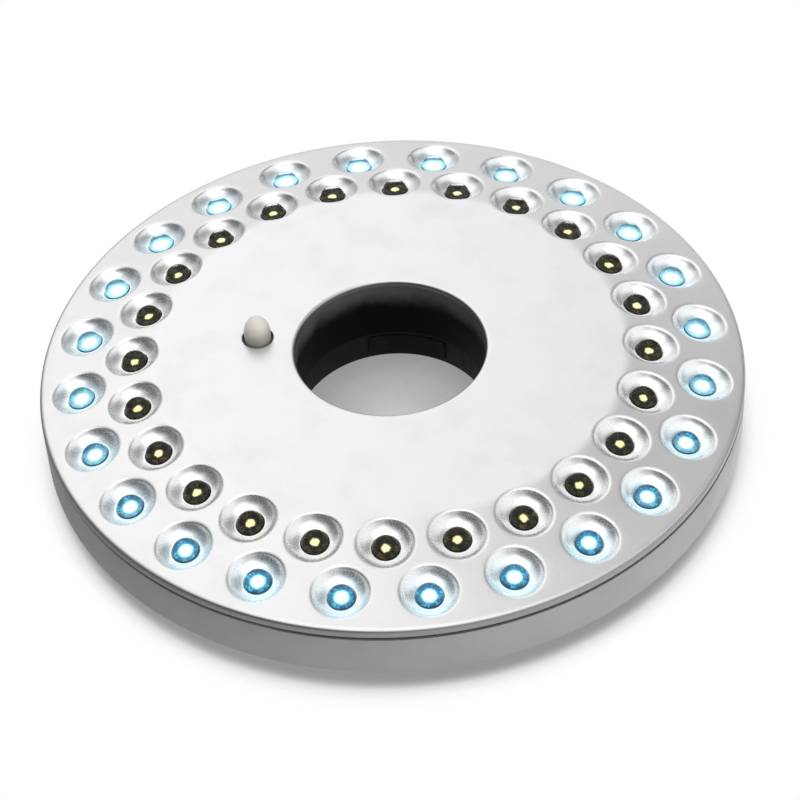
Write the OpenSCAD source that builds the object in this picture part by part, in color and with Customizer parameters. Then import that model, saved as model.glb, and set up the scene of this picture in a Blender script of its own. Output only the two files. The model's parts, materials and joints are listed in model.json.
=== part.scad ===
// Ring light that clamps round the pole of a patio umbrella.
// Millimetres, lit face up. The origin is on the pole axis, in the plane that the light stands on.
// The push button is on the -X side and the sliding clamp jaw on the -Y side.

/* [Round body] */
// Outside diameter of the body
outer_d = 210; // [208:1:224]
// Height of the flat middle of the face
face_h = 31; // [31:0.5:35]
// Slope of the band that carries the lamps, in degrees
band_slope = 11; // [9:0.5:12]
// Wall of the front and rear mouldings
wall = 2; // [1.8:0.1:2.2]
// Height of the side wall between the edge of the face and the seam
side_h = 3.3; // [2.8:0.1:4.2]
// Width of the dark gap at the seam
seam_gap = 0.6; // [0.3:0.1:0.9]
// Rounding of the outer edge of the face
edge_round = 1.4; // [0.8:0.1:1.8]
// Height of the back plate above the ground
back_h = 6; // [5.6:0.1:6.4]
// Chamfer at the bottom of the side wall
foot_bevel = 1.5; // [0.5:0.1:2]
// Height of the locating lip inside the seam
lip_h = 1.6; // [1:0.1:1.8]
// Thickness of the locating lip
lip_t = 0.9; // [0.6:0.1:1]
// Clearance round the locating lip
lip_fit = 0.2; // [0.1:0.05:0.4]

/* [Pole hole] */
// Diameter of the hole for the umbrella pole
hole_d = 57; // [54:0.5:58]
// Rounding of the rim of the hole
hole_round = 1; // [0.5:0.1:1.5]
// Wall of the tube that lines the hole
tube_t = 2; // [1.6:0.1:2.4]
// Height of the black clamp ring under the tube
ring_h = 9.7; // [9.5:0.1:10]
// Gap between the tube and the clamp ring
ring_gap = 0.2; // [0.1:0.1:0.5]
// Wall of the clamp ring
ring_t = 3.5; // [3.2:0.1:3.8]
// How far the clamp ring is set back from the hole
ring_back = 0.8; // [0.6:0.1:1]
// Clearance between the clamp ring and the back plate
ring_fit = 0.2; // [0.1:0.05:0.4]

/* [Lamps and reflector cups] */
// Lamps in each of the two rings
lamps = 24; // [12:1:24]
// Distance from the outer ring of lamps to the edge of the body
edge_w = 11.9; // [11.4:0.1:13]
// Distance between the two rings of lamps
ring_step = 15.9; // [15.5:0.1:16.2]
// Distance from the flat middle of the face to the inner ring of lamps
flat_gap = 6.7; // [6.2:0.1:8.2]
// Diameter of a reflector cup
cup_d = 16.2; // [14:0.1:16.6]
// Depth of a reflector cup
cup_depth = 4.1; // [3.5:0.1:4.3]
// Diameter of the floor of a cup
cup_floor_d = 8.8; // [8.6:0.1:10]
// Wall under a cup
cup_t = 1.2; // [0.8:0.1:1.4]
// Diameter of a lamp
led_d = 8; // [7:0.1:8.2]
// Length of a lamp from its base to its tip
led_len = 11; // [10.6:0.1:11.2]
// Depth of the centre of the dome under the face
led_sink = 3.9; // [3.6:0.1:4]
// Diameter of the flange at the base of a lamp
flange_d = 9; // [8.6:0.1:9.4]
// Thickness of that flange
flange_t = 1; // [0.6:0.1:1.4]
// Clearance of a lamp in its cup
led_fit = 0.15; // [0.1:0.05:0.3]
// Distance between the two leads of a lamp
lead_pitch = 2.54; // [2:0.1:3]
// Width of a square lead
lead_w = 0.5; // [0.4:0.05:0.6]
// Length of lead that shows under the board
lead_out = 1; // [0.6:0.1:1.6]

/* [Circuit board] */
// Board that shows inside the inner ring of lamps
board_in = 4; // [3.7:0.1:4.4]
// Board that shows outside the outer ring of lamps
board_out = 6.9; // [5:0.1:7.9]
// Thickness of the ring board
board_t = 1.6; // [1.2:0.1:1.8]
// Gap between the lamp flanges and the board
board_gap = 0.2; // [0.1:0.05:0.5]
// Distance from the inner ring of lamps to the row of board screws and resistors
board_row = 7.3; // [6.8:0.1:7.8]
// Number of resistors
resistors_n = 6; // [3:1:6]
// Diameter of a resistor
resistor_d = 2.2; // [1.6:0.1:2.4]
// Length of the body of a resistor
resistor_len = 6; // [4:0.5:7]

/* [Batteries] */
// Diameter of an AA cell
cell_d = 14.5; // [13.8:0.1:14.6]
// Length of an AA cell
cell_len = 50.5; // [48:0.5:51]
// Gap round each cell
cell_gap = 0.2; // [0.1:0.05:0.25]
// Room for the contact spring behind a cell
spring_room = 3.7; // [3:0.1:4.5]
// Thickness of a contact plate
contact_t = 0.4; // [0.3:0.1:0.6]
// Width of a contact plate
contact_w = 10; // [8:0.5:11]
// Wire of a contact spring
contact_wire_d = 0.7; // [0.5:0.1:0.8]
// Wall of a battery bay
bay_wall = 1.4; // [1.2:0.1:1.5]
// Gap between the clamp ring and a battery bay
bay_gap = 1.1; // [1:0.1:1.3]
// Thickness of a battery door
door_t = 2; // [1.6:0.1:2.1]
// How far a door lies in from the rim of its bay
door_in = 0.3; // [0.2:0.1:0.5]
// Clearance round a door
door_fit = 0.25; // [0.2:0.05:0.4]
// Radius of the hinge pins of a door
door_pin_r = 0.8; // [0.6:0.05:0.85]
// Width of the finger tab of a door
door_tab_w = 10; // [6:0.5:16]

/* [Push button and switch] */
// Distance of the button from the pole axis
button_x = 40; // [39.6:0.1:41]
// Diameter of the button
button_d = 8; // [7:0.1:8.4]
// Height of the button above the face
button_out = 7.8; // [5:0.1:9]
// Diameter of the hole round the button
button_hole_d = 9.1; // [8.8:0.1:9.6]
// Diameter of the flange that holds the button in
button_flange_d = 11.2; // [10.4:0.1:12]
// Thickness of that flange
button_flange_t = 1.2; // [0.8:0.1:1.3]
// Travel of the button
press_travel = 1.6; // [1:0.1:1.7]
// Width of the square switch body
switch_w = 8.5; // [8:0.1:9.5]
// Height of the switch body with its lid
switch_h = 4.6; // [4.2:0.1:4.7]
// Thickness of the switch lid
switch_lid_t = 1; // [0.8:0.1:1.1]
// Radius of the plunger
plunger_r = 1.7; // [1.4:0.05:1.8]
// Running clearance of the plunger in the lid
plunger_fit = 0.08; // [0.05:0.01:0.1]
// Thickness of the switch board
switch_board_t = 1.2; // [0.8:0.1:1.3]

/* [Pole clamp] */
// Width of the sliding jaw
jaw_w = 24; // [20:0.5:25]
// How far the face of the jaw stands past the pole axis at rest
jaw_rest = 9.5; // [9:0.5:14]
// Travel of the jaw
jaw_travel = 19; // [12:0.5:19]
// Length of the jaw behind its face
jaw_len = 28.5; // [26:0.5:29]
// Thickness of the rubber pads
pad_t = 2; // [1.5:0.1:2.4]
// Radius of the pole that the jaw is hollowed for
pole_r = 24; // [19:0.5:26]
// Clearance above, below and beside the jaw
jaw_fit = 0.3; // [0.2:0.05:0.4]
// Thickness of the guide plate under the jaw
guide_t = 1.2; // [1:0.1:1.3]
// Height of the guide plate above the ground
guide_up = 0.4; // [0.3:0.1:0.5]
// Radius of a jaw spring, to the middle of its wire
jaw_spring_r = 2.3; // [1.8:0.1:2.4]
// Wire of a jaw spring
jaw_wire_d = 0.6; // [0.4:0.1:0.7]
// Turns of a jaw spring
jaw_turns = 12; // [8:1:14]

/* [Hanging hooks] */
// Distance of the hooks from the edge of the body
hook_in = 25; // [23:0.5:27]
// Outside radius of the open ring of a hook
hook_r = 9; // [8:0.1:9.5]
// Width of the band of the hook
hook_band = 3.4; // [2.8:0.1:3.6]
// Thickness of a hook
hook_t = 2.8; // [2.4:0.1:3]
// Length from the hinge to the middle of the ring
hook_reach = 20; // [18:0.5:22]
// Radius of a hinge pin
hook_pin_r = 1; // [0.8:0.05:1.1]
// Running clearance of a hinge pin
pin_fit = 0.05; // [0.03:0.01:0.08]

/* [Screws] */
// Distance from the four housing screws to the inner ring of lamps
screw_gap = 10.2; // [10:0.1:10.6]
// Radius of the shank of a housing screw
screw_r = 1.5; // [1.2:0.1:1.6]
// Radius of a housing screw head
head_r = 2.9; // [2.5:0.1:3.1]
// Radius of the shank of the small screws
small_r = 1; // [0.8:0.05:1.1]
// Radius of the heads of the small screws
small_head_r = 2; // [1.7:0.1:2.1]
// Clearance round a screw shank
screw_fit = 0.05; // [0.03:0.01:0.08]

/* [Hidden] */
$fn = 48;

over = 0.5;     // how far cuts and joined solids run past a face
rim_r = outer_d / 2;
hole_r = hole_d / 2;
outer_ring_r = rim_r - edge_w;
inner_ring_r = outer_ring_r - ring_step;
flat_r = inner_ring_r - flat_gap;
screw_ring_r = inner_ring_r - screw_gap;
hook_y = rim_r - hook_in;
lamp_step = 360 / lamps;
rings = [[outer_ring_r, 0], [inner_ring_r, lamp_step / 2]];
cup_lip = 0.2;  // straight stretch at the rim of a cup

// height of the face at a radius
function face_z(r) = face_h - max(0, r - flat_r) * tan(band_slope);

seam_h = face_z(rim_r) - side_h;
seam_top = seam_h + seam_gap / 2;
seam_bottom = seam_h - seam_gap / 2;
back_top = back_h + wall;
ring_r = hole_r + ring_t;
tube_z = ring_h + ring_gap;

// lamp heights: the board lies just under the lowest flange of the outer ring
led_r = led_d / 2;
led_base = led_sink + led_len - led_r;
board_z = face_z(outer_ring_r) - led_base * cos(band_slope) - flange_d / 2 * sin(band_slope) - board_gap;
board_screw_a = lamp_step * 2.5;
board_screw_h = 4;
lead_hole_r = lead_w / 2 + 0.3;
board_in_r = inner_ring_r - board_in;
board_out_r = outer_ring_r + board_out;
board_mid_r = inner_ring_r + board_row;

// battery bays: measured outward from the clamp ring
bay_in = ring_r + bay_gap + bay_wall;
bay_w = 2 * cell_d + 3 * cell_gap;
bay_len = cell_len + spring_room + 2 * contact_t;
door_top = door_in + door_t;
cell_z = door_top + cell_gap + 0.1 + cell_d / 2;
bay_roof = cell_z + cell_d / 2 + cell_gap + 0.1;
bay_top = bay_roof + bay_wall;
bay_bevel = 2;
function cell_x(i) = bay_in + cell_gap + cell_d / 2 + i * (cell_d + cell_gap);

// doors: the hinge pins lie across the +Y end of a bay
door_mid_z = door_in + door_t / 2;
door_barrel_r = door_t / 2 + 0.15;
door_hinge_y = bay_len / 2 - door_fit - door_barrel_r;
door_tab_out = 0.9;

// push button and switch, stacked down from the underside of the face
flange_top = face_h - wall - 0.3;
flange_bottom = flange_top - button_flange_t;
switch_top = flange_bottom - press_travel - 0.6;
switch_base = switch_top - switch_h;
switch_room_r = 3;
plunger_disc_t = 0.8;
plunger_disc_r = 2.7;
plunger_top = face_h;
switch_floor = switch_base + 0.6;
switch_board_w = 16;
switch_board_l = 19;
switch_screw_y = 7;

// pole clamp
guide_top = guide_up + guide_t;
jaw_low = guide_top + jaw_fit;
jaw_high = ring_h - jaw_fit;
jaw_mid_z = (jaw_low + jaw_high) / 2;
channel_w = jaw_w + 2 * jaw_fit;
jaw_back = -jaw_rest - pad_t - jaw_len;
channel_end = jaw_back - jaw_travel - 5.5;
channel_front = -ring_r - 0.3;
pocket_r = jaw_spring_r + jaw_wire_d / 2 + 0.4;
pocket_depth = 12;
jaw_spring_x = jaw_w / 4 + 1;
grip_w = 9;
grip_l = 4;
grip_y = jaw_back + 4;
guide_screw_x = channel_w / 2 + bay_wall + small_head_r + 0.6;
guide_w = 2 * (guide_screw_x + small_head_r + 1.3);
guide_front = channel_front - 1;
guide_back = channel_end - bay_wall;
guide_screw_y = [guide_front - 4, guide_back + 4];
guide_boss_r = small_r + 2;

// clamp ring lugs
lug_r = ring_r + 8;
lug_top = back_h - 0.2;
lug_t = 2.2;
lug_end_r = 4.2;
lug_boss_h = 5.5;
clamp_screw_len = 9;

// hooks
hook_z = 3.3;
hook_barrel_r = 2.2;
hook_barrel_l = 8;
hook_lug_r = 2.6;
hook_lug_t = 2.5;
hook_gap = 0.25;
hook_x = -hook_reach * 0.7;
hook_mouth = 7;

// housing screws
well_r = head_r + 0.5;
well_wall = 1.4;
well_top = back_h + 6;
well_seat = back_h + 4;
boss_r = screw_r + 2.1;
head_t = 2;
housing_screw_len = 13;

// a bend of n short steps from a to c that is drawn towards b
function bend(a, b, c, n = 4) =
    [for (i = [0:n]) let (t = i / n) a * (1 - t) * (1 - t) + b * 2 * t * (1 - t) + c * t * t];

// the curved side of a reflector cup, from its rim at a height down to its floor
function bowl(top_r, floor_r, top, low, n) =
    bend([top_r, top], [top_r - 0.3 * (top_r - floor_r), top + 0.72 * (low - top)], [floor_r, low], n);

// a tube swept along points, as one closed solid of triangles
function unit(v) = v / norm(v);
function along(p, i) = unit(p[min(i + 1, len(p) - 1)] - p[max(i - 1, 0)]);
function carried(u, t) = unit(u - (u * t) * t);
function sides(p, i = 0, u = [0.1, 0.2, 1]) =
    i == len(p) ? [] : let (v = carried(u, along(p, i))) concat([v], sides(p, i + 1, v));
module swept(p, r, n = 8) {
    u = sides(p);
    skin = [for (i = [0:len(p) - 1]) let (v = cross(along(p, i), u[i]))
        for (k = [0:n - 1]) p[i] + r * (cos(360 * k / n) * u[i] + sin(360 * k / n) * v)];
    last = len(p) * n;
    quads = [for (i = [0:len(p) - 2], k = [0:n - 1]) let (m = (k + 1) % n)
        [i * n + k, i * n + m, (i + 1) * n + m, (i + 1) * n + k]];
    walls = [for (q = quads, h = [0, 1]) h == 0 ? [q[2], q[1], q[0]] : [q[3], q[2], q[0]]];
    caps = [for (k = [0:n - 1]) each [[last, k, (k + 1) % n],
        [last + 1, last - n + (k + 1) % n, last - n + k]]];
    polyhedron(concat(skin, [p[0], p[len(p) - 1]]), concat(walls, caps));
}

// a smooth line through hand-chosen points
function smooth(p, n = 4) = concat([for (i = [0:len(p) - 2], s = [0:n - 1])
    let (t = s / n, a = p[max(i - 1, 0)], b = p[i], c = p[i + 1], d = p[min(i + 2, len(p) - 1)])
        0.5 * (2 * b + (c - a) * t + (2 * a - 5 * b + 4 * c - d) * t * t
            + (3 * b - a - 3 * c + d) * t * t * t)], [p[len(p) - 1]]);

// a coil spring standing on z = 0
module coil(r, wire_d, height, turns, top_r = 0, steps = 10) {
    end_r = top_r == 0 ? r : top_r;
    count = turns * steps;
    run = height - wire_d;
    swept([for (i = [0:count]) let (a = 360 * i / steps, q = r + (end_r - r) * i / count)
        [q * cos(a), q * sin(a), wire_d / 2 + run * i / count]], wire_d / 2, 6);
}

module at_lamp(ring, i) {
    rotate(ring[1] + i * lamp_step) translate([ring[0], 0, face_z(ring[0])])
        rotate([0, band_slope, 0]) children();
}

module each_lamp() {
    for (ring = rings, i = [0:lamps - 1]) at_lamp(ring, i) children();
}

module four_round(r, first = 45) {
    for (k = [0:3]) rotate(first + 90 * k) translate([r, 0, 0]) children();
}

// a pan-head screw: the head sits on z = 0 and the shank points up
module screw(shank_r, length, top_r, top_t) {
    rotate_extrude() polygon([[0, -top_t], [top_r * 0.7, -top_t], [top_r, -top_t * 0.55], [top_r, 0],
        [shank_r, 0], [shank_r, length - shank_r], [shank_r * 0.3, length], [0, length]]);
}

// a block with bevelled upright edges, from x0 to x1 and y0 to y1
module block(x0, x1, y0, y1, height, bevel) {
    linear_extrude(height) polygon([[x0 + bevel, y0], [x1 - bevel, y0], [x1, y0 + bevel],
        [x1, y1 - bevel], [x1 - bevel, y1], [x0 + bevel, y1], [x0, y1 - bevel], [x0, y0 + bevel]]);
}

// front moulding: face, lamp cups, side wall, tube round the pole and screw bosses
module front_cover() color("silver") {
    edge_z = face_z(rim_r);
    slope_t = wall / cos(band_slope);
    difference() {
        union() {
            rotate_extrude() polygon(concat(
                [[rim_r, seam_top]],
                bend([rim_r, edge_z - edge_round], [rim_r, edge_z],
                    [rim_r - edge_round, face_z(rim_r - edge_round)]),
                [[flat_r, face_h]],
                bend([hole_r + hole_round, face_h], [hole_r, face_h], [hole_r, face_h - hole_round]),
                [[hole_r, tube_z], [hole_r + tube_t, tube_z], [hole_r + tube_t, face_h - wall],
                    [flat_r - wall * tan(band_slope / 2), face_h - wall],
                    [rim_r - wall, face_z(rim_r - wall) - slope_t], [rim_r - wall, seam_top]]));
            each_lamp() rotate_extrude() polygon(concat(
                [[0, -wall / 2]],
                bowl(cup_d / 2 + cup_t, cup_floor_d / 2 + cup_t, -wall / 2, -cup_depth - cup_t, 3),
                [[0, -cup_depth - cup_t]]));
            four_round(screw_ring_r) translate([0, 0, well_top + 0.2])
                cylinder(r = boss_r, h = face_h - wall / 2 - well_top - 0.2);
        }
        each_lamp() {
            rotate_extrude() polygon(concat([[0, 1], [cup_d / 2, 1]],
                bowl(cup_d / 2, cup_floor_d / 2, -cup_lip, -cup_depth, 4), [[0, -cup_depth]]));
            translate([0, 0, -cup_depth - cup_t - 1]) cylinder(r = led_r + led_fit, h = cup_t + 2);
        }
        four_round(screw_ring_r) translate([0, 0, well_top - over])
            cylinder(r = screw_r + screw_fit, h = housing_screw_len);
        translate([-button_x, 0, face_h - wall - over])
            cylinder(d = button_hole_d, h = wall + 2 * over);
    }
}

module bay_solid() {
    block(bay_in - bay_wall, bay_in + bay_w + bay_wall, -bay_len / 2 - bay_wall,
        bay_len / 2 + bay_wall, bay_top, bay_bevel);
}

module bay_hollow() {
    translate([bay_in, -bay_len / 2, -over]) cube([bay_w, bay_len, bay_roof + over]);
    translate([bay_in + bay_w / 2 - door_tab_w / 2 - door_fit, -bay_len / 2 - bay_wall - over, -over])
        cube([door_tab_w + 2 * door_fit, bay_wall + 2 * over, door_top + door_fit + over]);
    translate([bay_in - 1.05, door_hinge_y, door_mid_z]) rotate([0, 90, 0])
        cylinder(r = door_pin_r + pin_fit, h = bay_w + 2.1);
}

// rear moulding: side wall, back plate, two battery bays, jaw channel, bosses and hook lugs
module rear_housing() color("silver") {
    difference() {
        union() {
            rotate_extrude() polygon([[ring_r + ring_fit, back_h], [rim_r - foot_bevel, back_h],
                [rim_r, back_h + foot_bevel], [rim_r, seam_bottom], [rim_r - wall - lip_fit, seam_bottom],
                [rim_r - wall - lip_fit, seam_bottom + lip_h],
                [rim_r - wall - lip_fit - lip_t, seam_bottom + lip_h],
                [rim_r - wall - lip_fit - lip_t, seam_bottom - 1.5],
                [rim_r - wall, seam_bottom - 3], [rim_r - wall, back_top],
                [ring_r + ring_fit, back_top]]);
            bay_solid();
            rotate(180) bay_solid();
            translate([-channel_w / 2 - bay_wall, channel_end - bay_wall, guide_top])
                cube([channel_w + 2 * bay_wall, channel_front - channel_end + bay_wall,
                    ring_h + bay_wall - guide_top]);
            for (s = [-1, 1], y = guide_screw_y) translate([s * guide_screw_x, y, guide_top])
                cylinder(r = guide_boss_r, h = back_top - guide_top);
            four_round(screw_ring_r) translate([0, 0, back_h])
                cylinder(r = well_r + well_wall, h = well_top - back_h);
            four_round(lug_r) translate([0, 0, back_h]) cylinder(r = small_r + 2, h = lug_boss_h + wall);
            four_round(board_mid_r, board_screw_a) translate([0, 0, back_top - over])
                cylinder(r = small_r + 2, h = board_z - board_t - back_top + over);
            for (s = [-1, 1]) translate([-button_x, s * switch_screw_y, bay_top - over])
                cylinder(r = small_r + 1.4, h = switch_base - switch_board_t - bay_top + over);
            for (s = [-1, 1]) hook_lugs(s * hook_y);
        }
        bay_hollow();
        mirror([1, 0, 0]) bay_hollow();
        translate([-channel_w / 2, channel_end, guide_top - over])
            cube([channel_w, -channel_end - hole_r + over, ring_h - guide_top + over]);
        for (s = [-1, 1], y = guide_screw_y) translate([s * guide_screw_x, y, guide_top - over])
            cylinder(r = small_r + screw_fit, h = back_top - guide_top);
        four_round(screw_ring_r) {
            translate([0, 0, back_h - over]) cylinder(r = well_r, h = well_seat - back_h + over);
            translate([0, 0, well_seat - over]) cylinder(r = screw_r + 0.25, h = 4);
        }
        four_round(lug_r) translate([0, 0, back_h - over])
            cylinder(r = small_r + screw_fit, h = clamp_screw_len - lug_t);
        four_round(board_mid_r, board_screw_a) translate([0, 0, board_z - board_t - board_screw_h])
            cylinder(r = small_r + screw_fit, h = board_screw_h + over);
        for (s = [-1, 1]) translate([-button_x, s * switch_screw_y, bay_roof + 0.2])
            cylinder(r = small_r + screw_fit, h = switch_base - bay_roof);
    }
}

module hook_lugs(y) {
    for (s = [-1, 1]) translate([hook_x, y + s * (hook_barrel_l / 2 + hook_gap + hook_lug_t / 2), 0])
        difference() {
            union() {
                translate([0, 0, hook_z]) rotate([90, 0, 0])
                    cylinder(r = hook_lug_r, h = hook_lug_t, center = true);
                translate([-hook_lug_r + 0.3, -hook_lug_t / 2, hook_z])
                    cube([2 * hook_lug_r - 0.6, hook_lug_t, back_h - hook_z + over]);
            }
            translate([0, 0, hook_z]) rotate([90, 0, 0])
                cylinder(r = hook_pin_r + pin_fit / 2, h = hook_lug_t + 2 * over, center = true);
        }
}

// one lamp with its dome, flange and two leads; z = 0 is the face over it
module lamp(ring_r_here) {
    lead_len = (face_z(ring_r_here) - board_z + board_t + lead_out) / cos(band_slope) - led_base;
    union() {
        rotate_extrude() polygon(concat(
            [[0, -led_base], [flange_d / 2, -led_base], [flange_d / 2, -led_base + flange_t],
                [led_r, -led_base + flange_t]],
            [for (t = [0:15:90]) [led_r * cos(t), -led_sink + led_r * sin(t)]]));
        for (s = [-1, 1]) translate([-lead_w / 2, s * lead_pitch / 2 - lead_w / 2, -led_base - lead_len])
            cube([lead_w, lead_w, lead_len + over]);
    }
}

module outer_lamps() color("paleturquoise") {
    for (i = [0:lamps - 1]) at_lamp(rings[0], i) lamp(outer_ring_r);
}

module inner_lamps() color("darkkhaki") {
    for (i = [0:lamps - 1]) at_lamp(rings[1], i) lamp(inner_ring_r);
}

module lamp_board() color("seagreen") {
    difference() {
        translate([0, 0, board_z - board_t]) cylinder(r = board_out_r, h = board_t);
        translate([0, 0, board_z - board_t - over]) cylinder(r = board_in_r, h = board_t + 2 * over);
        each_lamp() for (s = [-1, 1]) translate([0, s * lead_pitch / 2, -led_base - 9])
            cylinder(r = lead_hole_r, h = 10);
        four_round(board_mid_r, board_screw_a) translate([0, 0, board_z - board_t - over])
            cylinder(r = small_r + 0.2, h = board_t + 2 * over);
    }
}

module resistors() color("tan") {
    leg_y = resistor_len / 2 + 1.4;
    for (i = [0:resistors_n - 1]) rotate(lamp_step * 1.5 + round(lamps / resistors_n * i) * lamp_step)
        translate([board_mid_r, 0, board_z + resistor_d / 2 + 0.1]) {
            rotate([90, 0, 0]) cylinder(d = resistor_d, h = resistor_len, center = true);
            rotate([90, 0, 0]) cylinder(r = lead_w / 2, h = 2 * leg_y, center = true);
            for (s = [-1, 1]) translate([0, s * leg_y, -resistor_d / 2 - 0.1])
                cylinder(r = lead_w / 2 + 0.05, h = resistor_d / 2 + 0.1 + lead_w / 2);
        }
}

module board_screws() color("gray") {
    four_round(board_mid_r, board_screw_a) translate([0, 0, board_z]) mirror([0, 0, 1])
        screw(small_r, board_t + board_screw_h - 0.3, small_head_r, 1.3);
}

// push button: bullet-shaped cap, held in by a flange under the face
module push_button() color("ivory") {
    tip_z = face_h + button_out;
    round_h = button_out * 0.75;
    translate([-button_x, 0, 0]) difference() {
        rotate_extrude() polygon(concat(
            [[0, flange_bottom], [button_flange_d / 2, flange_bottom], [button_flange_d / 2, flange_top],
                [button_d / 2, flange_top]],
            [for (t = [0:15:90]) [button_d / 2 * cos(t), tip_z - round_h + round_h * sin(t)]]));
        translate([0, 0, flange_bottom - over])
            cylinder(r = plunger_r + 0.03, h = plunger_top - flange_bottom + over);
    }
}

module switch_plunger() color("white") {
    disc_top = switch_top - switch_lid_t;
    translate([-button_x, 0, disc_top - plunger_disc_t]) {
        cylinder(r = plunger_disc_r, h = plunger_disc_t);
        cylinder(r = plunger_r, h = plunger_top - disc_top + plunger_disc_t);
    }
}

module button_spring() color("gray") {
    height = switch_top - switch_lid_t - plunger_disc_t - switch_floor;
    translate([-button_x, 0, switch_floor]) coil(2.2, 0.3, height, 3);
}

module switch_body() color("dimgray") {
    translate([-button_x, 0, 0]) difference() {
        translate([-switch_w / 2, -switch_w / 2, switch_base])
            cube([switch_w, switch_w, switch_h - switch_lid_t]);
        translate([0, 0, switch_floor]) cylinder(r = switch_room_r, h = switch_h);
    }
}

module switch_lid() color("gray") {
    translate([-button_x, 0, 0]) difference() {
        translate([-switch_w / 2, -switch_w / 2, switch_top - switch_lid_t])
            cube([switch_w, switch_w, switch_lid_t]);
        translate([0, 0, switch_top - switch_lid_t - over])
            cylinder(r = plunger_r + plunger_fit, h = switch_lid_t + 2 * over);
    }
}

module switch_board() color("seagreen") {
    difference() {
        translate([-button_x - switch_board_w / 2, -switch_board_l / 2, switch_base - switch_board_t])
            cube([switch_board_w, switch_board_l, switch_board_t]);
        for (s = [-1, 1])
            translate([-button_x, s * switch_screw_y, switch_base - switch_board_t - over])
                cylinder(r = small_r + 0.2, h = switch_board_t + 2 * over);
    }
}

module switch_screws() color("gray") {
    for (s = [-1, 1]) translate([-button_x, s * switch_screw_y, switch_base]) mirror([0, 0, 1])
        screw(small_r, switch_base - bay_roof - 0.4, small_head_r, 1.2);
}

// one AA cell, its button end towards +Y or -Y
module battery(side, place, turned) color("goldenrod") {
    r = cell_d / 2;
    far = bay_len / 2 - contact_t;
    translate([side * cell_x(place), turned ? -far : far, cell_z]) rotate([turned ? -90 : 90, 0, 0])
        rotate_extrude() polygon([[0, 0], [2.7, 0], [2.7, 1], [r - 0.9, 1], [r, 1.7],
            [r, cell_len - 0.6], [r - 0.6, cell_len], [0, cell_len]]);
}
module battery_1() battery(-1, 0, false);
module battery_2() battery(-1, 1, true);
module battery_3() battery(1, 0, false);
module battery_4() battery(1, 1, true);

// tapered springs against the flat end of each cell
module contact_springs() color("lightsteelblue") {
    for (side = [-1, 1], place = [0, 1]) let (d = place == 0 ? -1 : 1)
        translate([side * cell_x(place), d * (bay_len / 2 - contact_t), cell_z]) rotate([d * 90, 0, 0])
            translate([0, 0, 0.02])
                coil(0.4 * contact_w, contact_wire_d, spring_room - 0.06, 3, 0.26 * contact_w);
}

module contact_plates() color("lightsteelblue") {
    for (side = [-1, 1], place = [0, 1], d = [-1, 1])
        translate([side * cell_x(place) - contact_w / 2,
            d * (bay_len / 2 - contact_t / 2) - contact_t / 2, cell_z - contact_w / 2])
            cube([contact_w, contact_t, contact_w]);
}

// battery door: plate with a hinge barrel and pins at +Y and a finger tab at -Y
module battery_door() {
    x0 = bay_in + door_fit;
    width = bay_w - 2 * door_fit;
    low_y = -bay_len / 2 + door_fit;
    difference() {
        union() {
            translate([x0, low_y, door_in]) cube([width, door_hinge_y - low_y, door_t]);
            translate([x0, door_hinge_y, door_mid_z]) rotate([0, 90, 0])
                cylinder(r = door_barrel_r, h = width);
            translate([x0 - door_fit - 0.9, door_hinge_y, door_mid_z]) rotate([0, 90, 0])
                cylinder(r = door_pin_r, h = bay_w + 1.8);
            translate([bay_in + bay_w / 2 - door_tab_w / 2, low_y - door_tab_out, door_in])
                cube([door_tab_w, door_tab_out + over, door_t]);
        }
        for (i = [0:3]) translate([bay_in + bay_w / 2 - door_tab_w / 2, low_y + 3 + 2 * i, door_in - over])
            cube([door_tab_w, 1, over + 0.6]);
    }
}
module battery_door_right() color("silver") battery_door();
module battery_door_left() color("silver") mirror([1, 0, 0]) battery_door();

// black ring at the back of the pole hole, with a gap for the jaw and four lugs
module clamp_ring() color("dimgray") {
    difference() {
        union() {
            cylinder(r = ring_r, h = ring_h);
            four_round(0) translate([ring_r - 1, -3.6, lug_top - lug_t])
                cube([lug_r - ring_r + 1, 7.2, lug_t]);
            four_round(lug_r) translate([0, 0, lug_top - lug_t]) cylinder(r = lug_end_r, h = lug_t);
        }
        translate([0, 0, -over]) cylinder(r = hole_r + ring_back, h = ring_h + 2 * over);
        translate([-channel_w / 2, -ring_r - over, guide_top])
            cube([channel_w, ring_r - hole_r / 2, ring_h]);
        intersection() {
            translate([0, 0, guide_top]) cylinder(r = hole_r + pad_t, h = ring_h - 2 * guide_top);
            translate([-jaw_w / 2, 0, 0]) cube([jaw_w, ring_r, ring_h]);
        }
        four_round(lug_r) translate([0, 0, lug_top - lug_t - over])
            cylinder(r = small_r + 0.2, h = lug_t + 2 * over);
    }
}

// rubber pad let into the ring, opposite the jaw
module fixed_pad() color("black") {
    difference() {
        intersection() {
            translate([0, 0, guide_top + 0.05])
                cylinder(r = hole_r + pad_t - 0.05, h = ring_h - 2 * guide_top - 0.1);
            translate([-jaw_w / 2 + 0.05, 0, 0]) cube([jaw_w - 0.1, ring_r, ring_h]);
        }
        cylinder(r = hole_r + 0.3, h = ring_h);
    }
}

module clamp_screws() color("gray") {
    four_round(lug_r) translate([0, 0, lug_top - lug_t])
        screw(small_r, clamp_screw_len - 1, small_head_r, 1.4);
}

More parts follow.
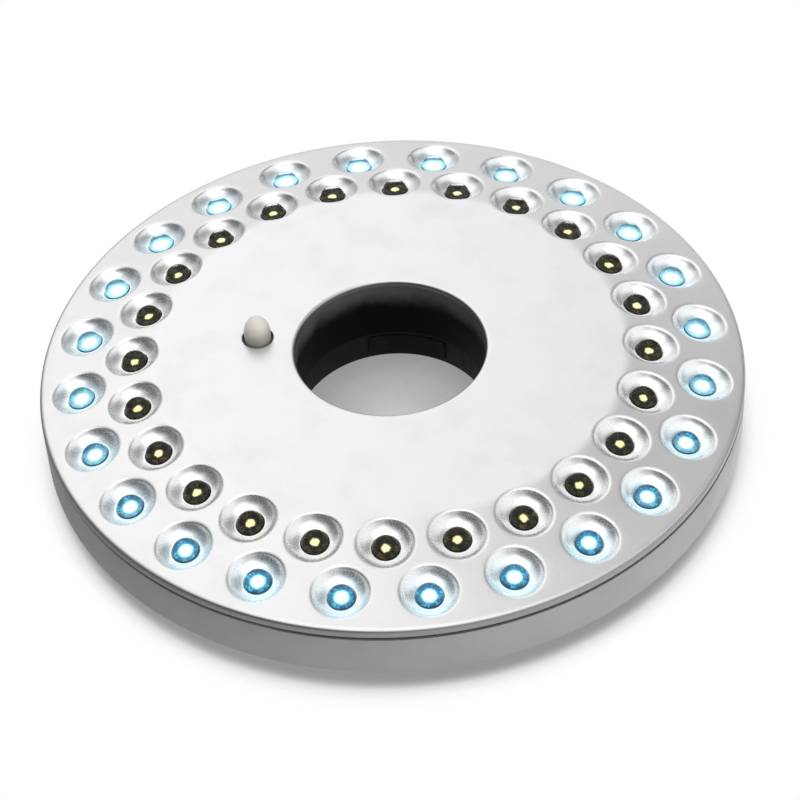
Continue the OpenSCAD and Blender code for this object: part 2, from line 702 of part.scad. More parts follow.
// sliding jaw: hollowed for the pole, with two spring pockets in its back and a grip below
module clamp_jaw() color("dimgray") {
    difference() {
        union() {
            translate([-jaw_w / 2, jaw_back, jaw_low])
                cube([jaw_w, -jaw_rest + pole_r / 2 - jaw_back, jaw_high - jaw_low]);
            translate([-grip_w / 2, grip_y, guide_up + 0.2]) cube([grip_w, grip_l, jaw_low - guide_up]);
        }
        translate([0, pole_r - jaw_rest, 0]) cylinder(r = pole_r + pad_t, h = ring_h);
        translate([-jaw_w, -jaw_rest + pad_t, 0]) cube([2 * jaw_w, pole_r, ring_h]);
        for (s = [-1, 1]) translate([s * jaw_spring_x, jaw_back - over, jaw_mid_z]) rotate([-90, 0, 0])
            cylinder(r = pocket_r, h = pocket_depth + over);
    }
}

module jaw_pad() color("black") {
    difference() {
        translate([0, pole_r - jaw_rest, jaw_low + 0.5])
            cylinder(r = pole_r + pad_t - 0.05, h = jaw_high - jaw_low - 1);
        translate([0, pole_r - jaw_rest, 0]) cylinder(r = pole_r, h = ring_h);
        translate([-2 * pole_r, -jaw_rest + pad_t - 0.1, 0]) cube([4 * pole_r, 3 * pole_r, ring_h]);
        for (s = [-1, 1]) translate([s * (pole_r + jaw_w / 2 - 0.4), -jaw_rest, ring_h / 2])
            cube([2 * pole_r, 4 * pole_r, 2 * ring_h], center = true);
    }
}

module jaw_spring(s) {
    translate([s * jaw_spring_x, jaw_back + pocket_depth - 0.05, jaw_mid_z]) rotate([90, 0, 0])
        coil(jaw_spring_r, jaw_wire_d, jaw_back + pocket_depth - channel_end - 0.1, jaw_turns);
}
module jaw_spring_right() color("gray") jaw_spring(1);
module jaw_spring_left() color("gray") jaw_spring(-1);

// plate that closes the jaw channel, with a slot for the grip
module guide_plate() color("dimgray") {
    difference() {
        translate([0, 0, guide_up])
            block(-guide_w / 2, guide_w / 2, guide_back, guide_front, guide_t, 2);
        translate([-grip_w / 2 - 0.5, grip_y - jaw_travel - 0.5, 0])
            cube([grip_w + 1, grip_l + jaw_travel + 1, guide_top + over]);
        for (s = [-1, 1], y = guide_screw_y) {
            translate([s * guide_screw_x, y, 0]) cylinder(r = small_r + 0.2, h = guide_top + over);
            translate([s * guide_screw_x, y, 0]) cylinder(r = small_head_r + 0.15, h = guide_up + 0.7);
        }
    }
}

module guide_screws() color("gray") {
    for (s = [-1, 1], y = guide_screw_y) translate([s * guide_screw_x, y, guide_up + 0.7])
        screw(small_r, back_top - guide_top - 1, small_head_r, 0.6);
}

// folding hook: barrel, arm and open ring, all in the plane of the back
module hook(y) {
    centre_x = hook_x + hook_reach;
    low_z = hook_z - hook_t / 2;
    difference() {
        union() {
            translate([hook_x, y, hook_z]) rotate([90, 0, 0])
                cylinder(r = hook_barrel_r, h = hook_barrel_l, center = true);
            translate([hook_x, y - 3, low_z]) cube([hook_reach - hook_r + hook_band / 2, 6, hook_t]);
            translate([centre_x, y, low_z]) cylinder(r = hook_r, h = hook_t);
        }
        translate([centre_x, y, low_z - over]) cylinder(r = hook_r - hook_band, h = hook_t + 2 * over);
        translate([centre_x - 1.5, y + 1, low_z - over]) cube([hook_mouth, hook_r, hook_t + 2 * over]);
        translate([hook_x, y, hook_z]) rotate([90, 0, 0])
            cylinder(r = hook_pin_r + pin_fit, h = hook_barrel_l + 2 * over, center = true);
    }
}
module hook_near() color("silver") hook(-hook_y);
module hook_far() color("silver") hook(hook_y);

module hook_pin(y) {
    translate([hook_x, y, hook_z]) rotate([90, 0, 0])
        cylinder(r = hook_pin_r, h = hook_barrel_l + 2 * (hook_gap + hook_lug_t), center = true);
}
module hook_pin_near() color("gray") hook_pin(-hook_y);
module hook_pin_far() color("gray") hook_pin(hook_y);

module housing_screws() color("gray") {
    four_round(screw_ring_r) translate([0, 0, well_seat]) screw(screw_r, housing_screw_len, head_r, head_t);
}

// leads between the bays, the switch and the lamp board: each leaves its two ends square, and the
// points between are chosen by hand
wire_r = 0.7;
wire_gap = 0.05;  // left between the end of a wire and what it is soldered to
bay_end_y = bay_len / 2 + bay_wall + wire_gap;
bay_mid_x = bay_in + bay_w / 2;
bay_out_x = bay_in + bay_w - 8;
low_z = cell_z + 3;
pad_r = board_in_r + 5.8;
pad_x = pad_r * cos(30);
pad_y = pad_r * sin(30);
pad_z = board_z + wire_gap;
switch_pad_z = switch_base + wire_gap;
function lead(p) = concat([p[0]], smooth([for (i = [1:len(p) - 2]) p[i]]), [p[len(p) - 1]]);
module wire_bridge() color("white") swept(lead([[bay_mid_x, bay_end_y, low_z],
    [bay_mid_x, bay_end_y + 1, low_z], [bay_mid_x - 2, bay_end_y + 4, low_z - 0.4],
    [40, bay_end_y + 9, low_z - 1.5], [20, bay_end_y + 15, low_z - 2], [0, bay_end_y + 16, low_z - 2],
    [-20, bay_end_y + 15, low_z - 2], [-40, bay_end_y + 9, low_z - 1.5],
    [-bay_mid_x + 2, bay_end_y + 4, low_z - 0.4], [-bay_mid_x, bay_end_y + 1, low_z],
    [-bay_mid_x, bay_end_y, low_z]]), wire_r);
module wire_supply() color("red") swept(lead([[-bay_out_x, bay_end_y, low_z + 2],
    [-bay_out_x, bay_end_y + 1, low_z + 2], [-bay_out_x, bay_end_y + 3, low_z + 3],
    [-bay_out_x + 2, bay_end_y + 2.4, bay_top + 0.2], [-button_x - 9, bay_end_y - 5, bay_top + 2.7],
    [-button_x - 6, 14, switch_pad_z + 2.3], [-button_x - 5.5, 7.6, switch_pad_z + 2.2],
    [-button_x - 5.5, 6.5, switch_pad_z + 1], [-button_x - 5.5, 6.5, switch_pad_z]]), wire_r);
module wire_lamps() color("red") swept(lead([[-button_x + 6, -6.5, switch_pad_z],
    [-button_x + 6, -6.5, switch_pad_z + 1], [-button_x + 6, -8, switch_pad_z + 2],
    [-button_x + 2, -16, switch_pad_z + 1.8], [-button_x - 7, -26, bay_top + 2.2],
    [-pad_x + 11.4, -pad_y + 6.5, bay_top - 0.3], [-pad_x + 3.4, -pad_y + 1.5, pad_z + 2.6],
    [-pad_x + 0.4, -pad_y, pad_z + 2.2], [-pad_x, -pad_y, pad_z + 1], [-pad_x, -pad_y, pad_z]]), wire_r);
module wire_return() color("black") swept(lead([[bay_out_x, -bay_end_y, low_z + 2],
    [bay_out_x, -bay_end_y - 1, low_z + 2], [bay_out_x, -bay_end_y - 3, low_z + 2.6],
    [pad_x - 6.4, -pad_y + 3.5, pad_z + 2.2], [pad_x - 1.8, -pad_y + 0.5, pad_z + 2.4],
    [pad_x - 0.4, -pad_y, pad_z + 2], [pad_x, -pad_y, pad_z + 1], [pad_x, -pad_y, pad_z]]), wire_r);

front_cover();
rear_housing();
outer_lamps();
inner_lamps();
lamp_board();
resistors();
board_screws();
push_button();
switch_plunger();
button_spring();
switch_body();
switch_lid();
switch_board();
switch_screws();
battery_1();
battery_2();
battery_3();
battery_4();
contact_springs();
contact_plates();
battery_door_right();
battery_door_left();
clamp_ring();
fixed_pad();
clamp_screws();
clamp_jaw();
jaw_pad();
jaw_spring_right();
jaw_spring_left();
guide_plate();
guide_screws();
hook_near();
hook_far();
hook_pin_near();
hook_pin_far();
housing_screws();
wire_bridge();
wire_supply();
wire_lamps();
wire_return();
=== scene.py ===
import json
from math import atan2, cos, hypot, pi, radians, sin, tan

import bmesh
import bpy
from mathutils import Matrix, Vector


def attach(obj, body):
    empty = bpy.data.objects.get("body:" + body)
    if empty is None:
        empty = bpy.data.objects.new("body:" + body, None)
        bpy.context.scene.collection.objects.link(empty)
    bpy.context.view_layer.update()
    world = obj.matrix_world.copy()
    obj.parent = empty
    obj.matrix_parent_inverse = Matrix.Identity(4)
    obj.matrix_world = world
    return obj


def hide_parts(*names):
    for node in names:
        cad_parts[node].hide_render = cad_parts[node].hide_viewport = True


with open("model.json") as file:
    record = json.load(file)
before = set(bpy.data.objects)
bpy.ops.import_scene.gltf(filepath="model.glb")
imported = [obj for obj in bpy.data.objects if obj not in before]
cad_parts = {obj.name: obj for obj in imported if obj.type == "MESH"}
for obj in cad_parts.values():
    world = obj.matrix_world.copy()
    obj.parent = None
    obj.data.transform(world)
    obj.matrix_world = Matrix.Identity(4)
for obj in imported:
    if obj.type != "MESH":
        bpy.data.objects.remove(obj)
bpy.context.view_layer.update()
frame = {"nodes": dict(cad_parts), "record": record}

mm = 0.001
scene = bpy.context.scene
scene.view_settings.view_transform = "Standard"

# shared sizes of the round body and its lamps, in mm
body = {
    "rimRadius": 105, "faceHeight": 31, "flatRadius": 70.5, "slope": radians(11), "creaseBlend": 1.2,
    "edgeRound": 1.4, "seamTop": 21.8, "seamBottom": 20.8, "wall": 2, "holeRadius": 28.5, "holeRound": 1.0,
    "linerTop": 29.3, "tubeBottom": 9.9, "tubeWall": 2, "screwCircle": 67,
}
lampRing = {
    "count": 24, "outer": 93.1, "inner": 77.2, "cupRadius": 8.1, "floorRadius": 4.4, "cupDepth": 3.0,
    "holeRadius": 4.15, "lampRadius": 4, "domeSink": 3.5, "length": 11, "flangeRadius": 4.5, "flange": 1,
}
lampStep = 2 * pi / lampRing["count"]


# meshes are written in mm and stored in metres
def makePiece(name, parts, rideOn, materials=(), sharp=35):
    verts, faces, marks = [], [], []
    for part in parts:
        partVerts, partFaces, mark = (*part, 0)[:3]
        first = len(verts)
        verts += [Vector(v) * mm for v in partVerts]
        faces += [tuple(first + i for i in face) for face in partFaces]
        marks += [mark] * len(partFaces)
    mesh = bpy.data.meshes.new(name)
    mesh.from_pydata(verts, [], faces)
    for material in materials:
        mesh.materials.append(material)
    mesh.polygons.foreach_set("material_index", marks)
    mesh.polygons.foreach_set("use_smooth", [True] * len(faces))
    tidy = bmesh.new()
    tidy.from_mesh(mesh)
    bmesh.ops.remove_doubles(tidy, verts=tidy.verts, dist=0.0008 * mm)
    bmesh.ops.recalc_face_normals(tidy, faces=tidy.faces)
    tidy.to_mesh(mesh)
    tidy.free()
    mesh.set_sharp_from_angle(angle=radians(sharp))
    piece = bpy.data.objects.new(name, mesh)
    scene.collection.objects.link(piece)
    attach(piece, rideOn)
    return piece


def moved(part, matrix):
    return ([matrix @ Vector(v) for v in part[0]], *part[1:])


def at(x=0, y=0, z=0, turn=0):
    return Matrix.Translation((x, y, z)) @ Matrix.Rotation(turn, 4, "Z")


# a lamp's own frame: its origin is the face over it, and its Z is square to the sloping band
def lampFrame(radius, angle):
    lean = Matrix.Rotation(body["slope"], 4, "Y")
    return Matrix.Rotation(angle, 4, "Z") @ Matrix.Translation((radius, 0, coneHeight(radius))) @ lean


def allLamps(ring):
    half = 0 if ring == "outer" else 0.5
    return [lampFrame(lampRing[ring], (i + half) * lampStep) for i in range(lampRing["count"])]


# a profile of (radius, height) turned round Z
def lathe(profile, count=64, mark=0):
    verts = [(r * cos(2 * pi * i / count), r * sin(2 * pi * i / count), z)
             for r, z in profile for i in range(count)]
    faces = []
    for ring in range(len(profile) - 1):
        for i in range(count):
            j = (i + 1) % count
            a, b = ring * count, (ring + 1) * count
            if profile[ring][0] == 0:
                faces.append((a, b + j, b + i))
            elif profile[ring + 1][0] == 0:
                faces.append((a + i, a + j, b))
            else:
                faces.append((a + i, a + j, b + j, b + i))
    return verts, faces, mark


# rounds the corners of a profile; a corner is (x, y, radius) and (x, y) keeps a corner sharp
def rounded(corners, steps=4, closed=False):
    line = []
    for i, corner in enumerate(corners):
        here = Vector(corner[:2])
        ends = 0 < i < len(corners) - 1 or closed
        if len(corner) < 3 or not ends:
            line.append(tuple(here))
            continue
        before = Vector(corners[i - 1][:2]) - here
        after = Vector(corners[(i + 1) % len(corners)][:2]) - here
        reach = min(corner[2], before.length * 0.49, after.length * 0.49)
        a, b = here + before.normalized() * reach, here + after.normalized() * reach
        for k in range(steps + 1):
            t = k / steps
            line.append(tuple(a * (1 - t) ** 2 + here * 2 * t * (1 - t) + b * t * t))
    return line


def arc(radius, centreR, centreZ, first, last, steps):
    return [(centreR + radius * cos(radians(first + (last - first) * k / steps)),
             centreZ + radius * sin(radians(first + (last - first) * k / steps))) for k in range(steps + 1)]


# a copy of a CAD node with real bevels, which stands for the node
def bevelledCopy(name, node, rideOn, slot, material, width, angle=28, steps=2):
    mesh = frame["nodes"][node].data.copy()
    mesh.materials.clear()
    mesh.materials.append(material)
    tidy = bmesh.new()
    tidy.from_mesh(mesh)
    bmesh.ops.remove_doubles(tidy, verts=tidy.verts, dist=0.003 * mm)
    bmesh.ops.dissolve_limit(tidy, angle_limit=radians(1), verts=tidy.verts, edges=tidy.edges,
                             delimit={"NORMAL"})
    for face in tidy.faces:
        face.smooth = True
        face.material_index = 0
    tidy.to_mesh(mesh)
    tidy.free()
    piece = bpy.data.objects.new(name, mesh)
    scene.collection.objects.link(piece)
    bevel = piece.modifiers.new("edges", "BEVEL")
    bevel.width, bevel.segments, bevel.limit_method = width * mm, steps, "ANGLE"
    bevel.angle_limit, bevel.harden_normals, bevel.use_clamp_overlap = radians(angle), True, True
    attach(piece, rideOn)
    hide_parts(node)
    return piece


print("helpers ready")


# shader helpers
def addNode(tree, kind, inputs=None, **settings):
    made = tree.nodes.new(kind)
    for key, value in settings.items():
        setattr(made, key, value)
    for key, value in (inputs or {}).items():
        if isinstance(value, bpy.types.NodeSocket):
            tree.links.new(value, made.inputs[key])
        else:
            made.inputs[key].default_value = value
    return made


def calc(tree, operation, a, b=0.5, c=0.5, clamp=False):
    made = tree.nodes.new("ShaderNodeMath")
    made.operation, made.use_clamp = operation, clamp
    for socket, value in zip(made.inputs, (a, b, c)):
        if isinstance(value, bpy.types.NodeSocket):
            tree.links.new(value, socket)
        else:
            socket.default_value = value
    return made.outputs[0]


def blendColour(tree, mask, a, b, how="MIX"):
    made = tree.nodes.new("ShaderNodeMix")
    made.data_type, made.blend_type = "RGBA", how
    for socket, value in ((made.inputs["Factor"], mask), (made.inputs[6], a), (made.inputs[7], b)):
        if isinstance(value, bpy.types.NodeSocket):
            tree.links.new(value, socket)
        else:
            socket.default_value = value
    return made.outputs[2]


def ramp(tree, value, stops, interpolation="EASE"):
    made = tree.nodes.new("ShaderNodeValToRGB")
    made.color_ramp.interpolation = interpolation
    while len(made.color_ramp.elements) < len(stops):
        made.color_ramp.elements.new(0.5)
    for element, (place, colour) in zip(made.color_ramp.elements, stops):
        element.position = place
        element.color = (*colour, 1) if len(colour) == 3 else colour
    tree.links.new(value, made.inputs["Fac"])
    return made.outputs["Color"]


def mapRange(tree, value, fromMin, fromMax, toMin=0.0, toMax=1.0, smooth=False):
    made = addNode(tree, "ShaderNodeMapRange", {
        "Value": value, "From Min": fromMin, "From Max": fromMax, "To Min": toMin, "To Max": toMax})
    made.interpolation_type = "SMOOTHSTEP" if smooth else "LINEAR"
    return made.outputs[0]


def noise(tree, spot, scale, detail, roughness=0.5):
    return addNode(tree, "ShaderNodeTexNoise", {
        "Vector": spot, "Scale": scale, "Detail": detail, "Roughness": roughness}).outputs["Fac"]


def split(tree, vector):
    return addNode(tree, "ShaderNodeSeparateXYZ", {"Vector": vector}).outputs


def objectSpot(tree):
    return addNode(tree, "ShaderNodeTexCoord").outputs["Object"]


def baseColour(shader):
    return shader.inputs["Base Color"].links[0].from_socket


def grey(level):
    return (level, level, level, 1)


def newGroup(name, inputs, outputs):
    tree = bpy.data.node_groups.new(name, "ShaderNodeTree")
    for label, kind, value in inputs:
        socket = tree.interface.new_socket(name=label, in_out="INPUT", socket_type=kind)
        socket.default_value = value
    for label, kind in outputs:
        tree.interface.new_socket(name=label, in_out="OUTPUT", socket_type=kind)
    return tree, tree.nodes.new("NodeGroupInput"), tree.nodes.new("NodeGroupOutput")


def place(tree, group, inputs):
    made = addNode(tree, "ShaderNodeGroup", node_tree=group)
    for key, value in inputs.items():
        if isinstance(value, bpy.types.NodeSocket):
            tree.links.new(value, made.inputs[key])
        else:
            made.inputs[key].default_value = value
    return made.outputs


floatKind, colourKind = "NodeSocketFloat", "NodeSocketColor"


# aluminium flakes under lacquer: sparkle, soft clouds and a faint orange peel
def makeFlakes():
    tree, given, out = newGroup(
        "metal flakes",
        [("Colour", colourKind, grey(0.7)), ("Grain Scale", floatKind, 3800), ("Sparkle", floatKind, 0.1),
         ("Clouds", floatKind, 0.04), ("Roughness", floatKind, 0.4)],
        [("Colour", colourKind), ("Roughness", floatKind), ("Height", floatKind)])
    spot = objectSpot(tree)
    grain = given.outputs["Grain Scale"]
    flake = addNode(tree, "ShaderNodeTexVoronoi", {"Vector": spot, "Scale": grain}).outputs["Color"]
    bright = addNode(tree, "ShaderNodeSeparateColor", {"Color": flake}).outputs[0]
    fine = noise(tree, spot, 900.0, 4.0)
    cloud = noise(tree, spot, 55.0, 3.0)
    lift = calc(tree, "MULTIPLY", calc(tree, "SUBTRACT", bright, 0.5), given.outputs["Sparkle"])
    drift = calc(tree, "MULTIPLY", calc(tree, "SUBTRACT", cloud, 0.5), given.outputs["Clouds"])
    level = calc(tree, "ADD", calc(tree, "ADD", lift, drift), 1.0)
    shade = addNode(tree, "ShaderNodeCombineColor", {0: level, 1: level, 2: level}).outputs[0]
    shade = blendColour(tree, 1.0, given.outputs["Colour"], shade, "MULTIPLY")
    tree.links.new(shade, out.inputs["Colour"])
    rough = calc(tree, "MULTIPLY_ADD", calc(tree, "SUBTRACT", bright, 0.5), given.outputs["Sparkle"],
                 given.outputs["Roughness"])
    rough = calc(tree, "MULTIPLY_ADD", drift, 1.5, rough)
    tree.links.new(rough, out.inputs["Roughness"])
    tree.links.new(calc(tree, "MULTIPLY_ADD", fine, 0.6, calc(tree, "MULTIPLY", bright, 0.4)),
                   out.inputs["Height"])
    return tree


# a little settled dust and finger marks, more of it on what faces up
def makeDust():
    tree, given, out = newGroup(
        "settled dust",
        [("Colour", colourKind, grey(0.5)), ("Dust", colourKind, grey(0.45)), ("Amount", floatKind, 0.15),
         ("Scale", floatKind, 120)],
        [("Colour", colourKind), ("Mask", floatKind)])
    spot = objectSpot(tree)
    facing = addNode(tree, "ShaderNodeNewGeometry").outputs["Normal"]
    up = split(tree, facing)["Z"]
    patch = mapRange(tree, noise(tree, spot, given.outputs["Scale"], 6.0, 0.65), 0.48, 0.75)
    lying = calc(tree, "MULTIPLY_ADD", up, 0.35, 0.65)
    mask = calc(tree, "MULTIPLY", calc(tree, "MULTIPLY", patch, lying), given.outputs["Amount"], clamp=True)
    dusty = blendColour(tree, mask, given.outputs["Colour"], given.outputs["Dust"])
    tree.links.new(dusty, out.inputs["Colour"])
    tree.links.new(mask, out.inputs["Mask"])
    return tree


# the fine spark-eroded texture of moulded plastic
def makeMouldGrain():
    tree, given, out = newGroup(
        "mould grain",
        [("Scale", floatKind, 1800), ("Roughness", floatKind, 0.5), ("Change", floatKind, 0.1)],
        [("Roughness", floatKind), ("Height", floatKind)])
    spot = objectSpot(tree)
    fine = noise(tree, spot, given.outputs["Scale"], 5.0, 0.6)
    broad = calc(tree, "SUBTRACT", noise(tree, spot, 140.0, 3.0), 0.5)
    change = calc(tree, "MULTIPLY", broad, given.outputs["Change"])
    tree.links.new(calc(tree, "ADD", given.outputs["Roughness"], change), out.inputs["Roughness"])
    tree.links.new(fine, out.inputs["Height"])
    return tree


# fine lines left by turning or drawing metal
def makeToolLines():
    tree, given, out = newGroup(
        "tool lines",
        [("Colour", colourKind, grey(0.6)), ("Scale", floatKind, 1500), ("Contrast", floatKind, 0.2),
         ("Roughness", floatKind, 0.3)],
        [("Colour", colourKind), ("Roughness", floatKind), ("Height", floatKind)])
    spot = objectSpot(tree)
    drawn = addNode(tree, "ShaderNodeVectorMath", {0: spot, 1: (1, 1, 0.08)}, operation="MULTIPLY")
    lines = noise(tree, drawn.outputs[0], given.outputs["Scale"], 3.0)
    stain = noise(tree, spot, 260.0, 4.0)
    swing = calc(tree, "MULTIPLY", calc(tree, "SUBTRACT", lines, 0.5), given.outputs["Contrast"])
    level = calc(tree, "ADD", calc(tree, "MULTIPLY_ADD", stain, 0.16, swing), 0.92)
    shade = addNode(tree, "ShaderNodeCombineColor", {0: level, 1: level, 2: level}).outputs[0]
    shade = blendColour(tree, 1.0, given.outputs["Colour"], shade, "MULTIPLY")
    tree.links.new(shade, out.inputs["Colour"])
    tree.links.new(calc(tree, "ADD", given.outputs["Roughness"], swing), out.inputs["Roughness"])
    tree.links.new(lines, out.inputs["Height"])
    return tree


flakes, dust, mouldGrain, toolLines = makeFlakes(), makeDust(), makeMouldGrain(), makeToolLines()


def newMaterial(name):
    made = bpy.data.materials.new(name)
    made.use_nodes = True
    return made, made.node_tree, made.node_tree.nodes["Principled BSDF"]


def setShader(shader, **values):
    for label, value in values.items():
        shader.inputs[label.replace("_", " ")].default_value = value


def bump(tree, shader, height, strength, distance):
    made = addNode(tree, "ShaderNodeBump",
                   {"Height": height, "Strength": strength, "Distance": distance * mm})
    tree.links.new(made.outputs["Normal"], shader.inputs["Normal"])


# the cup tint, glow colour and glow strength below are painted light of the lit lamps in their cups; the
# side grey is painted shade
coverPaint = {
    "face": grey(0.9), "cup": (0.93, 0.93, 0.94, 1), "side": grey(0.3), "paintedLampTint": (0.88, 0.97, 1.0, 1),
    "paintedGlow": (0.5, 0.9, 1.0, 1), "paintedGlowStrength": 0.16, "faceRough": 0.37, "cupRough": 0.27, "metal": 0.8,
}


# silver paint of the front: the cups are brighter metal; near the lit lamps they carry a painted cyan tint
# and a painted glow, and a dark grey on what faces sideways is painted shade on the edge fillet and side
# wall
def makeCoverPaint():
    made, tree, shader = newMaterial("silver front paint")
    inCup = addNode(tree, "ShaderNodeAttribute", attribute_name="cupPlace").outputs["Fac"]
    paintedGlow = addNode(tree, "ShaderNodeAttribute", attribute_name="paintedLampGlow").outputs["Fac"]
    facing = addNode(tree, "ShaderNodeNewGeometry").outputs["Normal"]
    up = split(tree, facing)["Z"]
    # painted shade: as the normal turns from up to sideways, the face colour gives way to a dark grey on the
    # edge fillet and side wall
    shadedSide = mapRange(tree, up, 0.95, 0.6)
    shadedSide = calc(tree, "MULTIPLY", shadedSide, calc(tree, "SUBTRACT", 1.0, inCup))
    base = blendColour(tree, shadedSide, coverPaint["face"], coverPaint["side"])
    base = blendColour(tree, inCup, base, coverPaint["cup"])
    # painted light: the cups of the lit lamps are tinted cyan towards their depth
    base = blendColour(tree, paintedGlow, base, coverPaint["paintedLampTint"], "MULTIPLY")
    sparkle = calc(tree, "MULTIPLY_ADD", inCup, 0.07, 0.04)
    rough = mapRange(tree, inCup, 0.0, 1.0, coverPaint["faceRough"], coverPaint["cupRough"])
    paint = place(tree, flakes, {"Colour": base, "Sparkle": sparkle, "Clouds": 0.05, "Roughness": rough})
    dusty = place(tree, dust, {
        "Colour": paint["Colour"], "Dust": grey(0.62), "Amount": 0.12, "Scale": 70.0})
    tree.links.new(dusty["Colour"], shader.inputs["Base Color"])
    rough = calc(tree, "MULTIPLY_ADD", dusty["Mask"], 0.5, paint["Roughness"])
    tree.links.new(rough, shader.inputs["Roughness"])
    # painted glow: those cups emit a faint cyan, though the paint is no lamp
    lit = blendColour(tree, paintedGlow, grey(0), coverPaint["paintedGlow"])
    tree.links.new(lit, shader.inputs["Emission Color"])
    setShader(shader, Metallic=coverPaint["metal"], Emission_Strength=coverPaint["paintedGlowStrength"],
              Coat_Weight=0.15, Coat_Roughness=0.3)
    bump(tree, shader, paint["Height"], 0.05, 0.05)
    return made


# silver paint of the back: a much darker copy of the front's silver, painted shade on the side wall and
# underside
def makeShellPaint():
    made, tree, shader = newMaterial("silver rear paint")
    paint = place(tree, flakes, {"Colour": grey(0.38), "Sparkle": 0.07, "Clouds": 0.08, "Roughness": 0.42})
    dusty = place(tree, dust, {
        "Colour": paint["Colour"], "Dust": grey(0.34), "Amount": 0.3, "Scale": 60.0})
    tree.links.new(dusty["Colour"], shader.inputs["Base Color"])
    rough = calc(tree, "MULTIPLY_ADD", dusty["Mask"], 0.6, paint["Roughness"])
    tree.links.new(rough, shader.inputs["Roughness"])
    setShader(shader, Metallic=0.65, Coat_Weight=0.1, Coat_Roughness=0.35)
    bump(tree, shader, paint["Height"], 0.15, 0.05)
    return made


def makePlastic(name, colour, rough, grainScale, depth, dustLevel=0.1, coat=0.0, scatter=0.0, shine=0.5):
    made, tree, shader = newMaterial(name)
    grain = place(tree, mouldGrain, {"Scale": grainScale, "Roughness": rough, "Change": 0.14})
    dusty = place(tree, dust, {
        "Colour": (*colour, 1), "Dust": grey(0.4), "Amount": dustLevel, "Scale": 110.0})
    tree.links.new(dusty["Colour"], shader.inputs["Base Color"])
    tree.links.new(calc(tree, "ADD", grain["Roughness"], dusty["Mask"]), shader.inputs["Roughness"])
    setShader(shader, Coat_Weight=coat, Coat_Roughness=0.25, Specular_IOR_Level=shine,
              Subsurface_Weight=scatter, Subsurface_Scale=0.002)
    bump(tree, shader, grain["Height"], 0.5, depth)
    return made


# painted shade round the foot of the button: below a height roughened by noise, its colour turns a darker
# grey brown
def paintShadeAtFoot(material):
    tree = material.node_tree
    shader = tree.nodes["Principled BSDF"]
    unshadedColour = baseColour(shader)
    spot = objectSpot(tree)
    high = split(tree, spot)["Z"]
    cloud = noise(tree, spot, 500.0, 4.0)
    edge = calc(tree, "MULTIPLY_ADD", calc(tree, "SUBTRACT", cloud, 0.5), 0.002, high)
    low = mapRange(tree, edge, 0.0375, 0.032, smooth=True)
    tree.links.new(blendColour(tree, low, unshadedColour, (0.36, 0.34, 0.31, 1)), shader.inputs["Base Color"])


# near-black inside of the pole tube, lighter towards its upper end: painted shade deep in the hole and
# painted light near its mouth
def makeLiner():
    made, tree, shader = newMaterial("dark tube liner")
    spot = objectSpot(tree)
    high = split(tree, spot)["Z"]
    cloud = noise(tree, spot, 160.0, 5.0)
    edge = calc(tree, "MULTIPLY_ADD", calc(tree, "SUBTRACT", cloud, 0.5), 0.006, high)
    haze = mapRange(tree, edge, 0.0205, 0.0285, smooth=True)
    grain = place(tree, mouldGrain, {"Scale": 1500.0, "Roughness": 0.5, "Change": 0.12})
    # painted light and shade: from near black low in the tube to grey at its top
    tree.links.new(blendColour(tree, haze, grey(0.0015), grey(0.13)), shader.inputs["Base Color"])
    tree.links.new(grain["Roughness"], shader.inputs["Roughness"])
    setShader(shader, Specular_IOR_Level=0.08)
    bump(tree, shader, grain["Height"], 0.4, 0.02)
    return made


def makeMetal(name, colour, rough, contrast, scale=1500.0):
    made, tree, shader = newMaterial(name)
    lines = place(tree, toolLines, {"Colour": (*colour, 1), "Scale": scale, "Contrast": contrast,
                                    "Roughness": rough})
    dusty = place(tree, dust, {
        "Colour": lines["Colour"], "Dust": grey(0.3), "Amount": 0.12, "Scale": 300.0})
    tree.links.new(dusty["Colour"], shader.inputs["Base Color"])
    tree.links.new(calc(tree, "ADD", lines["Roughness"], dusty["Mask"]), shader.inputs["Roughness"])
    setShader(shader, Metallic=1.0)
    bump(tree, shader, lines["Height"], 0.2, 0.03)
    return made


def makeLens(name, tint, rimGlow, coat):
    made, tree, shader = newMaterial(name)
    spot = objectSpot(tree)
    haze = noise(tree, spot, 700.0, 3.0)
    tree.links.new(calc(tree, "MULTIPLY_ADD", haze, 0.03, 0.004), shader.inputs["Roughness"])
    edge = addNode(tree, "ShaderNodeLayerWeight", {"Blend": 0.5}).outputs["Facing"]
    shine = ramp(tree, edge, [(0.0, (0, 0, 0)), (0.7, (0, 0, 0)), (1.0, rimGlow)])
    tree.links.new(shine, shader.inputs["Emission Color"])
    setShader(shader, Base_Color=(*tint, 1), Transmission_Weight=1.0, IOR=1.1, Emission_Strength=1.0,
              Coat_Weight=coat, Coat_IOR=1.45, Coat_Roughness=0.03)
    bump(tree, shader, haze, 0.05, 0.02)
    return made


